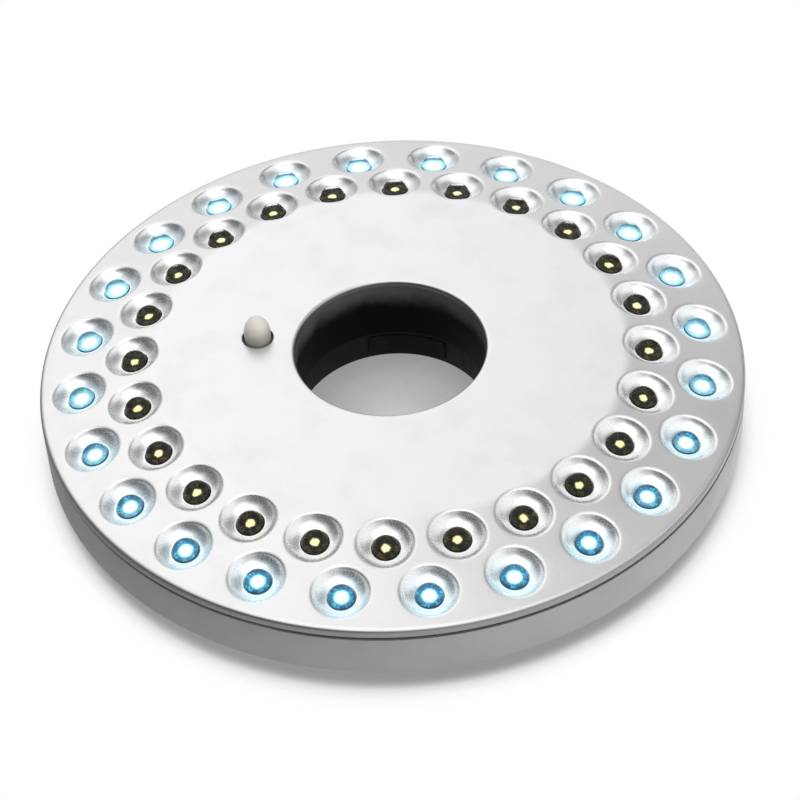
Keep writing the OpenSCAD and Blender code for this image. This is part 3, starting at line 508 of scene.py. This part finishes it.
# phosphor and dark bed inside a lamp; corePlace holds a point's radius and its place round the middle
def makeCore(name, colours, strength):
    made, tree, shader = newMaterial(name)
    where = addNode(tree, "ShaderNodeAttribute", attribute_name="corePlace").outputs["Vector"]
    radius, turnX, turnY = split(tree, where)
    spot = objectSpot(tree)
    ragged = noise(tree, spot, 900.0, 2.0)
    radius = calc(tree, "MULTIPLY_ADD", calc(tree, "SUBTRACT", ragged, 0.5), colours["ragged"], radius)
    around = calc(tree, "ARCTAN2", turnY, turnX)
    ray = addNode(tree, "ShaderNodeTexNoise", {"Scale": 3.2, "Detail": 2.0}, noise_dimensions="1D")
    tree.links.new(calc(tree, "MULTIPLY_ADD", ragged, 1.5, around), ray.inputs["W"])
    streak = mapRange(tree, ray.outputs["Fac"], 0.5, 0.62)
    bed, rim = mapRange(tree, radius, 0.4, 0.6), mapRange(tree, radius, 0.93, 0.8)
    lines = calc(tree, "MULTIPLY", streak, calc(tree, "MULTIPLY", bed, rim))
    shade = blendColour(tree, lines, ramp(tree, radius, colours["rings"]), (*colours["streak"], 1))
    tree.links.new(shade, shader.inputs["Base Color"])
    light = blendColour(tree, lines, ramp(tree, radius, colours["light"]), (*colours["streakLight"], 1))
    # seen flatter, the lamp's light spreads over the bed
    flat = addNode(tree, "ShaderNodeLayerWeight", {"Blend": 0.5}).outputs["Facing"]
    flat = mapRange(tree, flat, 0.2, 0.45)
    light = blendColour(tree, flat, light, ramp(tree, radius, colours["glare"]))
    tree.links.new(light, shader.inputs["Emission Color"])
    setShader(shader, Emission_Strength=strength, Roughness=0.45, Specular_IOR_Level=0.12)
    return made


silverFront, shadedSilverRear = makeCoverPaint(), makeShellPaint()
blackPlastic = makePlastic("black moulding", (0.012, 0.012, 0.013), 0.45, 1800.0, 0.03, 0.03, shine=0.18)
shadedLinerPlastic = makeLiner()
creamPlastic = makePlastic("cream button", (0.9, 0.87, 0.8), 0.34, 1500.0, 0.01, 0.04, 0.2, 0.1)
# painted shade at the foot of the button
paintShadeAtFoot(creamPlastic)
whitePlastic = makePlastic("white moulding", (0.78, 0.78, 0.77), 0.4, 1500.0, 0.01)
rubber = makePlastic("black rubber", (0.008, 0.008, 0.008), 0.72, 1300.0, 0.05, 0.05, shine=0.18)
steel = makeMetal("zinc plated steel", (0.62, 0.62, 0.63), 0.3, 0.25)
springSteel = makeMetal("nickel plated wire", (0.7, 0.69, 0.66), 0.22, 0.15)
clearLens = makeLens("clear lamp lens", (0.99, 0.99, 0.98), (0, 0, 0), 0.2)
litLens = makeLens("lit lamp lens", (0.96, 0.99, 1.0), (0.3, 0.5, 0.56), 0.4)
# the unlit cores glow faintly at the phosphor spot, a painted highlight though the lamp is off, and their
# olive streaks are painted reflections
darkCore = makeCore("unlit phosphor and bed", {
    "ragged": 0.3,
    "rings": [(0.0, (0.9, 0.88, 0.55)), (0.26, (0.8, 0.76, 0.4)), (0.32, (0.1, 0.1, 0.04)),
              (0.4, (0.01, 0.01, 0.008)), (1.0, (0.002, 0.002, 0.0015))],
    "streak": (0.08, 0.075, 0.025),
    "light": [(0.0, (0.5, 0.5, 0.3)), (0.24, (0.34, 0.34, 0.17)), (0.3, (0, 0, 0)), (1.0, (0, 0, 0))],
    "glare": [(0.0, (0.5, 0.5, 0.3)), (0.24, (0.34, 0.34, 0.17)), (0.3, (0, 0, 0)), (1.0, (0, 0, 0))],
    "streakLight": (0, 0, 0)}, 0.8)
litCore = makeCore("lit phosphor and bed", {
    "ragged": 0.12,
    "rings": [(0.0, (0.9, 0.95, 0.95)), (0.4, (0.4, 0.7, 0.8)), (0.6, (0.02, 0.09, 0.15)),
              (1.0, (0.003, 0.02, 0.04))],
    "streak": (0.08, 0.34, 0.46),
    "light": [(0.0, (1, 1, 1)), (0.3, (0.75, 0.95, 1)), (0.44, (0.25, 0.55, 0.68)),
              (0.6, (0.02, 0.12, 0.22)), (0.78, (0.005, 0.04, 0.1)), (0.9, (0.0, 0.015, 0.04)),
              (1.0, (0.02, 0.1, 0.15))],
    "glare": [(0.0, (1, 1, 1)), (0.42, (0.85, 0.98, 1)), (0.62, (0.5, 0.78, 0.85)),
              (0.82, (0.3, 0.55, 0.62)), (0.93, (0.05, 0.2, 0.26)), (1.0, (0.02, 0.12, 0.16))],
    "streakLight": (0.03, 0.22, 0.34)}, 1.3)
print("materials ready")


# height of the face without the cups: a flat middle, a blended crease and the sloping band
def coneHeight(radius):
    return body["faceHeight"] - (radius - body["flatRadius"]) * tan(body["slope"])


sinkMark = {"radius": 1.9, "depth": 0.07, "first": pi / 4}


def faceHeight(x, y):
    past, blend = hypot(x, y) - body["flatRadius"], body["creaseBlend"]
    if past <= -blend:
        drop = 0
    elif past < blend:
        drop = (past + blend) ** 2 / (4 * blend) * tan(body["slope"])
    else:
        drop = past * tan(body["slope"])
    turn = (atan2(y, x) - sinkMark["first"] + pi / 4) % (pi / 2) - pi / 4
    away = hypot(hypot(x, y) * cos(turn) - body["screwCircle"], hypot(x, y) * sin(turn)) / sinkMark["radius"]
    mark = sinkMark["depth"] * (1 - away ** 2) ** 2 if away < 1 else 0
    return body["faceHeight"] - drop - mark


# the face: a polar grid in the middle and one cell round each cup, all sharing their border points
faceGrid = {
    "stepsPerLamp": 12, "cellRows": 12, "innerEdge": 68.2, "outerEdge": 103.0, "between": 85.2, "wave": 1.9,
    "buttonSteps": 10, "buttonNear": 33.0, "buttonFar": 47.0, "buttonRows": 8,
}
cupShape = {"lip": 0.85, "lipSteps": 6, "lipEnd": 0.14, "bowlSteps": 10, "bowlIn": 0.3, "bowlDown": 0.72}
buttonSize = {"x": -40, "radius": 4, "holeRadius": 4.55, "holeRound": 0.5, "flangeRadius": 5.6,
              "flangeTop": 28.7, "flangeBottom": 27.5, "tip": 38.8, "roundHeight": 5.85}


def polar(radius, angle):
    return (radius * cos(angle), radius * sin(angle))


def seamBetween(angle):
    return faceGrid["between"] - faceGrid["wave"] * cos(lampRing["count"] * angle)


def onFace(x, y):
    return Vector((x, y, faceHeight(x, y)))


# the border of a cell, as points on the face in order round it
def cellBorder(ring, index):
    step = lampStep / faceGrid["stepsPerLamp"]
    rows = faceGrid["cellRows"]
    first = index * faceGrid["stepsPerLamp"] - (0 if ring == "inner" else faceGrid["stepsPerLamp"] // 2)
    angles = [(first + k) * step for k in range(faceGrid["stepsPerLamp"] + 1)]
    low = (lambda a: faceGrid["innerEdge"]) if ring == "inner" else seamBetween
    high = seamBetween if ring == "inner" else (lambda a: faceGrid["outerEdge"])
    a, b = angles[0], angles[-1]
    border = [polar(low(t), t) for t in angles[:-1]]
    border += [polar(low(b) + (high(b) - low(b)) * k / rows, b) for k in range(rows)]
    border += [polar(high(t), t) for t in reversed(angles[1:])]
    border += [polar(high(a) + (low(a) - high(a)) * k / rows, a) for k in range(rows)]
    return border


# a loop of points joined to a round hole through rings; shape gives (radius, depth) pairs of the hole
def cellMesh(border, shape, toFace, fromFace, startRings=2):
    count = len(border)
    local = [fromFace(x, y) for x, y in border]
    start = atan2(local[0][1], local[0][0])
    verts = [onFace(x, y) for x, y in border]
    places = [(0, 0)] * count
    rim = shape[0][0]
    circle = [(cos(start - 2 * pi * i / count), sin(start - 2 * pi * i / count)) for i in range(count)]
    for k in range(1, startRings + 1):
        t = k / (startRings + 1)
        for i in range(count):
            u, v = (local[i][axis] * (1 - t) + circle[i][axis] * rim * t for axis in (0, 1))
            verts.append(toFace(u, v, 0))
            places.append((0, 0))
    for radius, depth in shape:
        for u, v in circle:
            verts.append(toFace(u * radius, v * radius, depth))
            places.append((radius, depth))
    faces = []
    for ring in range(startRings + len(shape)):
        for i in range(count):
            j = (i + 1) % count
            a, b = ring * count, (ring + 1) * count
            faces.append((a + i, a + j, b + j, b + i))
    return verts, faces, places


def cupProfile():
    rim, floor, depth = (lampRing[key] for key in ("cupRadius", "floorRadius", "cupDepth"))
    shape = cupShape
    low = (rim - shape["bowlIn"] * (rim - floor), shape["bowlDown"] * depth)

    def bowl(t):
        return (rim * (1 - t) ** 2 + low[0] * 2 * t * (1 - t) + floor * t * t,
                low[1] * 2 * t * (1 - t) + depth * t * t)

    first = shape["lipEnd"]
    wall = [bowl(first + (1 - first) * k / shape["bowlSteps"]) for k in range(shape["bowlSteps"] + 1)]
    a, b, c = Vector((rim + shape["lip"], 0)), Vector((rim + 0.05, 0.02)), Vector(wall[0])
    lip = [tuple(a * (1 - t) ** 2 + b * 2 * t * (1 - t) + c * t * t)
           for t in (k / shape["lipSteps"] for k in range(shape["lipSteps"]))]
    end = lampRing["holeRadius"]
    return lip + wall + [(end + 0.06, depth), (end, depth + 0.08), (end, depth + 1.2)]


def makeCover():
    parts, places = [], []
    lean, profile = body["slope"], cupProfile()
    for ring in ("inner", "outer"):
        centre, half = lampRing[ring], 0.5 if ring == "inner" else 0
        for index in range(lampRing["count"]):
            turn = (index + half) * lampStep

            def fromFace(x, y):
                along, side = x * cos(turn) + y * sin(turn), -x * sin(turn) + y * cos(turn)
                return (along - centre) / cos(lean), side

            def toFace(u, v, depth):
                along, side = centre + u * cos(lean), v
                x, y = along * cos(turn) - side * sin(turn), along * sin(turn) + side * cos(turn)
                out = depth * sin(lean)
                return onFace(x, y) - Vector((out * cos(turn), out * sin(turn), depth * cos(lean)))

            verts, faces, where = cellMesh(cellBorder(ring, index), profile, toFace, fromFace)
            parts.append((verts, faces))
            places += [(r, d, 1 if ring == "outer" else 0) for r, d in where]
    # the flat middle, with a patch left open round the push button
    steps = lampRing["count"] * faceGrid["stepsPerLamp"]
    near, far = faceGrid["buttonNear"], faceGrid["buttonFar"]
    patchRows = [near + (far - near) * k / faceGrid["buttonRows"] for k in range(faceGrid["buttonRows"] + 1)]
    rows = [29.5, 30.0, 31.2] + patchRows + [50, 53, 56, 59, 61.5, 63.5, 64.7, 65.6, 66.4, 67.2, 68.2]
    middle = steps // 2
    grid = [onFace(*polar(r, 2 * pi * i / steps)) for r in rows for i in range(steps)]
    faces = []
    for row in range(len(rows) - 1):
        for i in range(steps):
            inPatch = middle - faceGrid["buttonSteps"] <= i < middle + faceGrid["buttonSteps"]
            if inPatch and near <= rows[row] < far - 0.01:
                continue
            j = (i + 1) % steps
            faces.append((row * steps + i, row * steps + j, (row + 1) * steps + j, (row + 1) * steps + i))
    parts.append((grid, faces))
    places += [(0, 0, 0)] * len(grid)
    reach = faceGrid["buttonSteps"]
    angles = [2 * pi * (middle + k) / steps for k in range(-reach, reach + 1)]
    border = [polar(near, t) for t in angles[:-1]] + [polar(r, angles[-1]) for r in patchRows[:-1]]
    border += [polar(far, t) for t in reversed(angles[1:])]
    border += [polar(r, angles[0]) for r in reversed(patchRows[1:])]
    hole, soft = buttonSize["holeRadius"], buttonSize["holeRound"]
    rim = [(hole + soft - soft * sin(t), soft - soft * cos(t)) for t in (radians(15 * k) for k in range(7))]
    verts, faces, where = cellMesh(
        border, [(hole + soft + 0.6, 0)] + rim + [(hole, body["wall"])],
        lambda u, v, depth: onFace(buttonSize["x"] + u, v) - Vector((0, 0, depth)),
        lambda x, y: (x - buttonSize["x"], y))
    parts.append((verts, faces))
    places += [(0, 0, 0)] * len(verts)
    # rounded outer edge, side wall, edge of the seam and the rim of the pole hole
    edge = body["rimRadius"]
    edgeZ, roundOff = coneHeight(edge), body["edgeRound"]
    bend = [Vector((edge - roundOff, coneHeight(edge - roundOff))), Vector((edge, edgeZ)),
            Vector((edge, edgeZ - roundOff))]
    curve = [tuple(bend[0] * (1 - t) ** 2 + bend[1] * 2 * t * (1 - t) + bend[2] * t * t)
             for t in (k / 8 for k in range(9))]
    inside = edge - body["wall"]
    outside = [(faceGrid["outerEdge"], coneHeight(faceGrid["outerEdge"]))] + curve + rounded([
        (edge, 22.4), (edge, body["seamTop"], 0.25), (inside, body["seamTop"]), (inside, 23.6)])
    hole = [(body["holeRadius"], body["linerTop"])] + [
        (29.5 - body["holeRound"] * sin(t), 31 - body["holeRound"] * (1 - cos(t)))
        for t in (radians(90 - 11.25 * k) for k in range(9))]
    for line in (outside, hole):
        part = lathe(line, steps)
        parts.append(part[:2])
        places += [(0, 0, 0)] * len(part[0])
    piece = makePiece("coverFace", [], "housing", [silverFront])
    # the mesh is filled here, so that each point keeps its place in its cup
    verts, polygons = [], []
    for part in parts:
        first = len(verts)
        verts += [Vector(v) * mm for v in part[0]]
        polygons += [tuple(first + i for i in face) for face in part[1]]
    mesh = piece.data
    mesh.from_pydata(verts, [], polygons)
    mesh.polygons.foreach_set("use_smooth", [True] * len(polygons))
    inCup = mesh.attributes.new("cupPlace", "FLOAT", "POINT")
    paintedGlow = mesh.attributes.new("paintedLampGlow", "FLOAT", "POINT")
    rimRadius = lampRing["cupRadius"]
    inCup.data.foreach_set("value", [min(1, max(0, (rimRadius + 0.5 - r) / 0.8)) if d > 0 else 0
                                     for r, d, lit in places])
    # painted glow: the share of painted lamp light at each point of an outer cup, growing with its depth
    paintedGlow.data.foreach_set("value", [lit * min(1, max(0, d / lampRing["cupDepth"])) ** 3 if d > 0 else 0
                                    for r, d, lit in places])
    tidy = bmesh.new()
    tidy.from_mesh(mesh)
    bmesh.ops.remove_doubles(tidy, verts=tidy.verts, dist=0.002 * mm)
    bmesh.ops.recalc_face_normals(tidy, faces=tidy.faces)
    tidy.to_mesh(mesh)
    tidy.free()
    mesh.set_sharp_from_angle(angle=radians(50))
    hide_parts("front_cover")
    return piece


makeCover()
# the tube wall inside the pole hole, in the near-black finish that paints the hole's shade
makePiece("poleTubeLiner", [lathe(rounded([
    (body["holeRadius"], body["linerTop"] - 0.12, 0.1), (body["holeRadius"], body["tubeBottom"], 0.4),
    (body["holeRadius"] + body["tubeWall"], body["tubeBottom"], 0.2),
    (body["holeRadius"] + body["tubeWall"], body["linerTop"] - 0.12),
    (body["holeRadius"], body["linerTop"] - 0.12)]), 144)], "housing", [shadedLinerPlastic])
# painted shade: a black ring set behind the seam gap so that the seam reads as a dark line
seamShadeRing = {
    "inside": 102.2, "outside": 104.35, "bottom": body["seamBottom"] + 0.1, "top": body["seamTop"] + 0.1,
}
makePiece("seamShadePiece", [lathe(rounded([
    (seamShadeRing["inside"], seamShadeRing["bottom"]), (seamShadeRing["outside"], seamShadeRing["bottom"], 0.2),
    (seamShadeRing["outside"], seamShadeRing["top"], 0.2), (seamShadeRing["inside"], seamShadeRing["top"]),
    (seamShadeRing["inside"], seamShadeRing["bottom"])]), 144)], "housing", [shadedLinerPlastic])
print("front cover ready")


lampBed = {"phosphor": 0.8, "panRadius": 1.3, "top": 2.88, "depth": 3.05, "radius": 3.85, "bottom": 10.0}


def lensPart():
    radius, wide, sink = lampRing["lampRadius"], lampRing["flangeRadius"], lampRing["domeSink"]
    base = -lampRing["length"] + radius - sink
    flange = base + lampRing["flange"]
    dome = arc(radius, 0, -sink, 90, 0, 14)
    dome[0] = (0, dome[0][1])
    low = rounded([(radius, flange + 1), (radius, flange, 0.2), (wide, flange, 0.15), (wide, base, 0.15),
                   (0, base)])
    return lathe(dome + low, 40)


# the bed under the lens, with the raised phosphor in its middle
def corePart():
    bed = lampBed
    middle = [(0, -bed["top"]), (bed["phosphor"], -bed["top"]), (bed["panRadius"], -bed["depth"] + 0.06)]
    rest = [(bed["radius"] * k / 6, -bed["depth"]) for k in (3, 4, 5, 5.5, 6)]
    return lathe(middle + rest + [(bed["radius"], -bed["bottom"]), (0, -bed["bottom"])], 32)


def makeLamps(ring, lensName, coreName, node, lens, core):
    frames = allLamps(ring)
    piece = makePiece(lensName, [moved(lensPart(), f) for f in frames], "housing", [lens], 50)
    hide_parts(node)
    verts, faces, mark = corePart()
    inner = makePiece(coreName, [], "housing", [core])
    copies = [tuple(i + k * len(verts) for i in face) for k in range(len(frames)) for face in faces]
    inner.data.from_pydata([(f @ Vector(v)) * mm for f in frames for v in verts], [], copies)
    where = inner.data.attributes.new("corePlace", "FLOAT_VECTOR", "POINT")
    spots = [(hypot(v[0], v[1]) / lampRing["lampRadius"], v[0], v[1]) for v in verts] * len(frames)
    where.data.foreach_set("vector", [value for spot in spots for value in spot])
    inner.data.polygons.foreach_set("use_smooth", [True] * len(inner.data.polygons))
    return piece


makeLamps("outer", "outerLenses", "outerCores", "outer_lamps", litLens, litCore)
makeLamps("inner", "innerLenses", "innerCores", "inner_lamps", clearLens, darkCore)
print("lamps ready")


def makeButton():
    b = buttonSize
    cap = [(b["radius"] * cos(radians(t)), b["tip"] - b["roundHeight"] + b["roundHeight"] * sin(radians(t)))
           for t in range(0, 90, 6)] + [(0, b["tip"])]
    foot = rounded([(0, b["flangeBottom"]), (b["flangeRadius"], b["flangeBottom"], 0.15),
                    (b["flangeRadius"], b["flangeTop"], 0.15), (b["radius"], b["flangeTop"], 0.2), cap[0]])
    piece = makePiece("buttonCap", [moved(lathe(foot + cap[1:], 64), at(b["x"]))], "button",
                      [creamPlastic])
    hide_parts("push_button")


makeButton()

# rigid pieces of the back keep their CAD form and get real edges
for name, node, rideOn, slot, material, width in (
        ("rearShell", "rear_housing", "housing", "silver_shell", shadedSilverRear, 0.25),
        ("doorRight", "battery_door_right", "door_right", "silver_shell", shadedSilverRear, 0.2),
        ("doorLeft", "battery_door_left", "door_left", "silver_shell", shadedSilverRear, 0.2),
        ("clampRing", "clamp_ring", "housing", "black_plastic", blackPlastic, 0.3),
        ("clampJaw", "clamp_jaw", "jaw", "black_plastic", blackPlastic, 0.3),
        ("guidePlate", "guide_plate", "housing", "black_plastic", blackPlastic, 0.15),
        ("jawPad", "jaw_pad", "jaw", "rubber", rubber, 0.15),
        ("fixedPad", "fixed_pad", "housing", "rubber", rubber, 0.15),
        ("hookNear", "hook_near", "hook_near", "silver_shell", shadedSilverRear, 0.35),
        ("hookFar", "hook_far", "hook_far", "silver_shell", shadedSilverRear, 0.35)):
    bevelledCopy(name, node, rideOn, slot, material, width)
print("back pieces ready")

# plain pieces inside keep their CAD node and get a finish
boardGreen = makePlastic("green circuit board", (0.03, 0.16, 0.07), 0.3, 500.0, 0.01, 0.05, 0.4)
resistorTan = makePlastic("resistor lacquer", (0.55, 0.4, 0.22), 0.35, 900.0, 0.01, 0.05, 0.3)


# wrap of a cell: black with a copper band towards its plus end, and bare metal at both ends
def makeCellWrap():
    made = makePlastic("cell wrap", (0.02, 0.02, 0.022), 0.26, 800.0, 0.01, 0.04, 0.4)
    tree = made.node_tree
    shader = tree.nodes["Principled BSDF"]
    black = baseColour(shader)
    along = split(tree, addNode(tree, "ShaderNodeTexCoord").outputs["Generated"])["Y"]
    copper = calc(tree, "GREATER_THAN", along, 0.7)
    line = calc(tree, "COMPARE", along, 0.695, 0.006)
    bare = calc(tree, "GREATER_THAN", calc(tree, "ABSOLUTE", calc(tree, "SUBTRACT", along, 0.485)), 0.475)
    shade = blendColour(tree, copper, black, (0.55, 0.24, 0.07, 1))
    shade = blendColour(tree, line, shade, grey(0.7))
    tree.links.new(blendColour(tree, bare, shade, grey(0.62)), shader.inputs["Base Color"])
    metal = calc(tree, "MAXIMUM", calc(tree, "MULTIPLY", copper, 0.6), bare)
    tree.links.new(metal, shader.inputs["Metallic"])
    return made


cellWrap = makeCellWrap()
wireWhite = makePlastic("white wire", (0.75, 0.75, 0.73), 0.35, 900.0, 0.01)
wireRed = makePlastic("red wire", (0.5, 0.03, 0.02), 0.35, 900.0, 0.01)
wireBlack = makePlastic("black wire", (0.02, 0.02, 0.02), 0.35, 900.0, 0.01)
finishOfSlot = {
    "silver_paint": silverFront, "silver_shell": shadedSilverRear, "lit_lamp": litLens, "unlit_lamp": clearLens,
    "circuit_board": boardGreen, "resistor": resistorTan, "steel": steel, "spring_steel": springSteel,
    "cream_plastic": creamPlastic, "white_plastic": whitePlastic, "black_plastic": blackPlastic,
    "rubber": rubber, "cell_wrap": cellWrap, "wire_white": wireWhite, "wire_red": wireRed,
    "wire_black": wireBlack,
}
for k in (1, 2, 3, 4):
    bevelledCopy("cell%d" % k, "battery_%d" % k, "housing", "cell_wrap", cellWrap, 0.35, 40, 3)
# painted shade: the near-black of the screw heads' cross recesses
recessShade = makePlastic("screw recess", (0.01, 0.01, 0.01), 0.6, 900.0, 0.01, shine=0.1)


# screws get turned edges, and each head a cross recess on its outer end: a near-black solid set into the
# head, painted shade in place of a cut recess
def makeScrews(name, node):
    copy = bevelledCopy(name, node, "housing", "steel", steel, 0.15, 30, 2)
    scan = bmesh.new()
    scan.from_mesh(copy.data)
    left, crosses = set(scan.verts), []
    while left:
        loop, shank = [left.pop()], []
        while loop:
            vert = loop.pop()
            shank.append(vert.co.copy())
            for edge in vert.link_edges:
                other = edge.other_vert(vert)
                if other in left:
                    left.discard(other)
                    loop.append(other)
        low, high = min(v.z for v in shank), max(v.z for v in shank)
        ends = {z: [v for v in shank if abs(v.z - z) < 0.00005] for z in (low, high)}
        centre = sum(ends[low], Vector()) / len(ends[low])
        reach = {z: max(hypot(v.x - centre.x, v.y - centre.y) for v in ends[z]) for z in ends}
        top = max(reach, key=reach.get)
        crosses.append((centre.x / mm, centre.y / mm, top / mm, reach[top] / mm, -1 if top == low else 1))
    scan.free()
    parts = []
    for x, y, z, radius, up in crosses:
        arm, half = radius * 0.62, radius * 0.13
        corners = [(arm, half), (half, half), (half, arm), (-half, arm), (-half, half), (-arm, half),
                   (-arm, -half), (-half, -half), (-half, -arm), (half, -arm), (half, -half), (arm, -half)]
        turn = atan2(y, x)
        verts = [(x + u * cos(turn) - v * sin(turn), y + u * sin(turn) + v * cos(turn), z + up * level)
                 for level in (0.03, -0.4) for u, v in corners]
        faces = [tuple(range(12)), tuple(range(23, 11, -1))]
        faces += [(k, k + 12, (k + 1) % 12 + 12, (k + 1) % 12) for k in range(12)]
        parts.append((verts, faces))
    makePiece(name + "Recess", parts, "housing", [recessShade])


for name, node in (("housingScrews", "housing_screws"), ("clampScrews", "clamp_screws"),
                   ("guideScrews", "guide_screws"), ("boardScrews", "board_screws")):
    makeScrews(name, node)
print("cells and screws ready")
slotOfNode = {part["node"]: part["material_slot"] for part in frame["record"]["subparts"]}
for node, piece in frame["nodes"].items():
    piece.data.materials.clear()
    piece.data.materials.append(finishOfSlot[slotOfNode[node]])
print("finishes ready")


# floor, world, lamps and camera
studio = {
    "floorRadius": 6000, "floorDrop": 0.15, "floor": grey(0.85), "shadeReach": 0.05, "shadeFrom": 0.34,
    "shadeTo": 0.62, "shadeCurve": 1.3, "shadeDark": 0.3, "worldLow": 0.5, "worldHigh": 0.55,
    "bright": [((-0.3, 0.6, 0.74), 42, 14, 0.5), ((0.9, -0.2, 0.35), 46, 18, 0.5),
               ((0.0, -0.4, 0.92), 42, 18, 1.0)],
    "dark": [((-0.42, -0.88, 0.26), 42, 16, 0.97), ((-0.95, -0.28, 0.18), 44, 16, 0.9),
             ((0.6, 0.8, 0.0), 28, 10, 0.85), ((0.36, 0.5, 0.76), 32, 8, 0.6)],
    "keyPower": 0.35, "keySize": 0.8, "keyPlace": (-0.33, 0.66, 0.82),
}


def makeFloor():
    count, rings = 96, [0, 150, 400, 1200, studio["floorRadius"]]
    verts, faces, mark = lathe([(r, -studio["floorDrop"]) for r in rings], count)
    mesh = bpy.data.meshes.new("studioFloor")
    mesh.from_pydata([Vector(v) * mm for v in verts], [], [tuple(reversed(face)) for face in faces])
    floor = bpy.data.objects.new("studioFloor", mesh)
    scene.collection.objects.link(floor)
    made = bpy.data.materials.new("white floor")
    made.use_nodes = True
    tree = made.node_tree
    tree.nodes.clear()
    seen = addNode(tree, "ShaderNodeLightPath")
    shown = calc(tree, "MAXIMUM", seen.outputs["Is Camera Ray"], seen.outputs["Is Glossy Ray"])
    shown = calc(tree, "MAXIMUM", shown, seen.outputs["Is Transmission Ray"])
    above = addNode(tree, "ShaderNodeAmbientOcclusion", {"Distance": studio["shadeReach"]}, samples=24)
    level = mapRange(tree, above.outputs["AO"], studio["shadeFrom"], studio["shadeTo"])
    level = calc(tree, "POWER", level, studio["shadeCurve"])
    level = calc(tree, "MULTIPLY_ADD", level, 1 - studio["shadeDark"], studio["shadeDark"])
    matt = addNode(tree, "ShaderNodeBsdfDiffuse", {"Color": studio["floor"]})
    # painted reflection: only in reflections is the floor dimmer on the left, so the side walls mirror a
    # darker floor there
    across = split(tree, addNode(tree, "ShaderNodeNewGeometry").outputs["Position"])["X"]
    paintedMirrorDim = mapRange(tree, across, -0.1, 0.1, 0.42, 1.2)
    mirrored = addNode(tree, "ShaderNodeMix", {0: seen.outputs["Is Glossy Ray"], 2: 1.0, 3: paintedMirrorDim}).outputs[0]
    level = calc(tree, "MULTIPLY", level, mirrored)
    white = addNode(tree, "ShaderNodeEmission", {"Color": grey(1), "Strength": level})
    both = addNode(tree, "ShaderNodeMixShader", {0: shown, 1: matt.outputs[0], 2: white.outputs[0]})
    # the floor is clear from below, so that the back can be seen
    under = addNode(tree, "ShaderNodeNewGeometry").outputs["Backfacing"]
    clear = addNode(tree, "ShaderNodeBsdfTransparent")
    both = addNode(tree, "ShaderNodeMixShader", {0: under, 1: both.outputs[0], 2: clear.outputs[0]})
    out = addNode(tree, "ShaderNodeOutputMaterial")
    tree.links.new(both.outputs[0], out.inputs["Surface"])
    mesh.materials.append(made)


# soft light from above and the left, dark towards the front, as the photo's reflections show
def makeWorld():
    world = bpy.data.worlds.new("studio")
    scene.world = world
    world.use_nodes = True
    tree = world.node_tree
    tree.nodes.clear()
    towards = addNode(tree, "ShaderNodeTexCoord").outputs["Generated"]

    def patch(direction, edge, core):
        lined = addNode(tree, "ShaderNodeVectorMath", {0: towards, 1: Vector(direction).normalized()},
                        operation="DOT_PRODUCT").outputs["Value"]
        return mapRange(tree, lined, cos(radians(edge)), cos(radians(core)), smooth=True)

    high = split(tree, towards)["Z"]
    level = mapRange(tree, high, 0.0, 0.8, studio["worldLow"], studio["worldHigh"])
    for direction, edge, core, amount in studio["bright"]:
        level = calc(tree, "MULTIPLY_ADD", patch(direction, edge, core), amount, level)
    for direction, edge, core, amount in studio["dark"]:
        level = calc(tree, "MULTIPLY", level, calc(tree, "SUBTRACT", 1.0, calc(
            tree, "MULTIPLY", patch(direction, edge, core), amount)))
    seen = addNode(tree, "ShaderNodeLightPath")
    plain = calc(tree, "MAXIMUM", seen.outputs["Is Camera Ray"], seen.outputs["Is Transmission Ray"])
    strength = blendColour(tree, plain, level, grey(1))
    back = addNode(tree, "ShaderNodeBackground", {"Color": strength, "Strength": 1.0})
    out = addNode(tree, "ShaderNodeOutputWorld")
    tree.links.new(back.outputs[0], out.inputs["Surface"])


def makeKey():
    light = bpy.data.lights.new("keyLight", "AREA")
    light.energy, light.size = studio["keyPower"], studio["keySize"]
    key = bpy.data.objects.new("keyLight", light)
    scene.collection.objects.link(key)
    key.location = studio["keyPlace"]
    key.rotation_euler = (-Vector(studio["keyPlace"])).to_track_quat("-Z", "Y").to_euler()


# the camera was fitted to the lamp cups, the seam and the hole of the photo, which is 800 pixels wide
photo = {"turn": 10.89, "height": 44.67, "roll": -3.59, "distance": 789, "focalPixels": 2660.6,
         "aimPixel": (390.11, 346.38), "width": 800}


def makeCamera():
    turn, height, roll = (radians(photo[k]) for k in ("turn", "height", "roll"))
    back = Vector((sin(turn) * cos(height), -cos(turn) * cos(height), sin(height)))
    level = Vector((cos(turn), sin(turn), 0))
    upright = back.cross(level)
    right, up = cos(roll) * level + sin(roll) * upright, -sin(roll) * level + cos(roll) * upright
    perPixel, middle = photo["distance"] / photo["focalPixels"], photo["width"] / 2
    spot = Vector((0, 0, body["faceHeight"])) + photo["distance"] * back
    spot -= (photo["aimPixel"][0] - middle) * perPixel * right
    spot += (photo["aimPixel"][1] - middle) * perPixel * up
    data = bpy.data.cameras.new("photoCamera")
    data.sensor_width, data.lens = 36, photo["focalPixels"] / photo["width"] * 36
    data.clip_start, data.clip_end = 0.02, 30
    camera = bpy.data.objects.new("photoCamera", data)
    scene.collection.objects.link(camera)
    pose = Matrix((right, up, back)).transposed().to_4x4()
    pose.translation = spot * mm
    camera.matrix_world = pose
    scene.camera = camera


makeFloor()
makeWorld()
makeKey()
makeCamera()
print("studio ready")
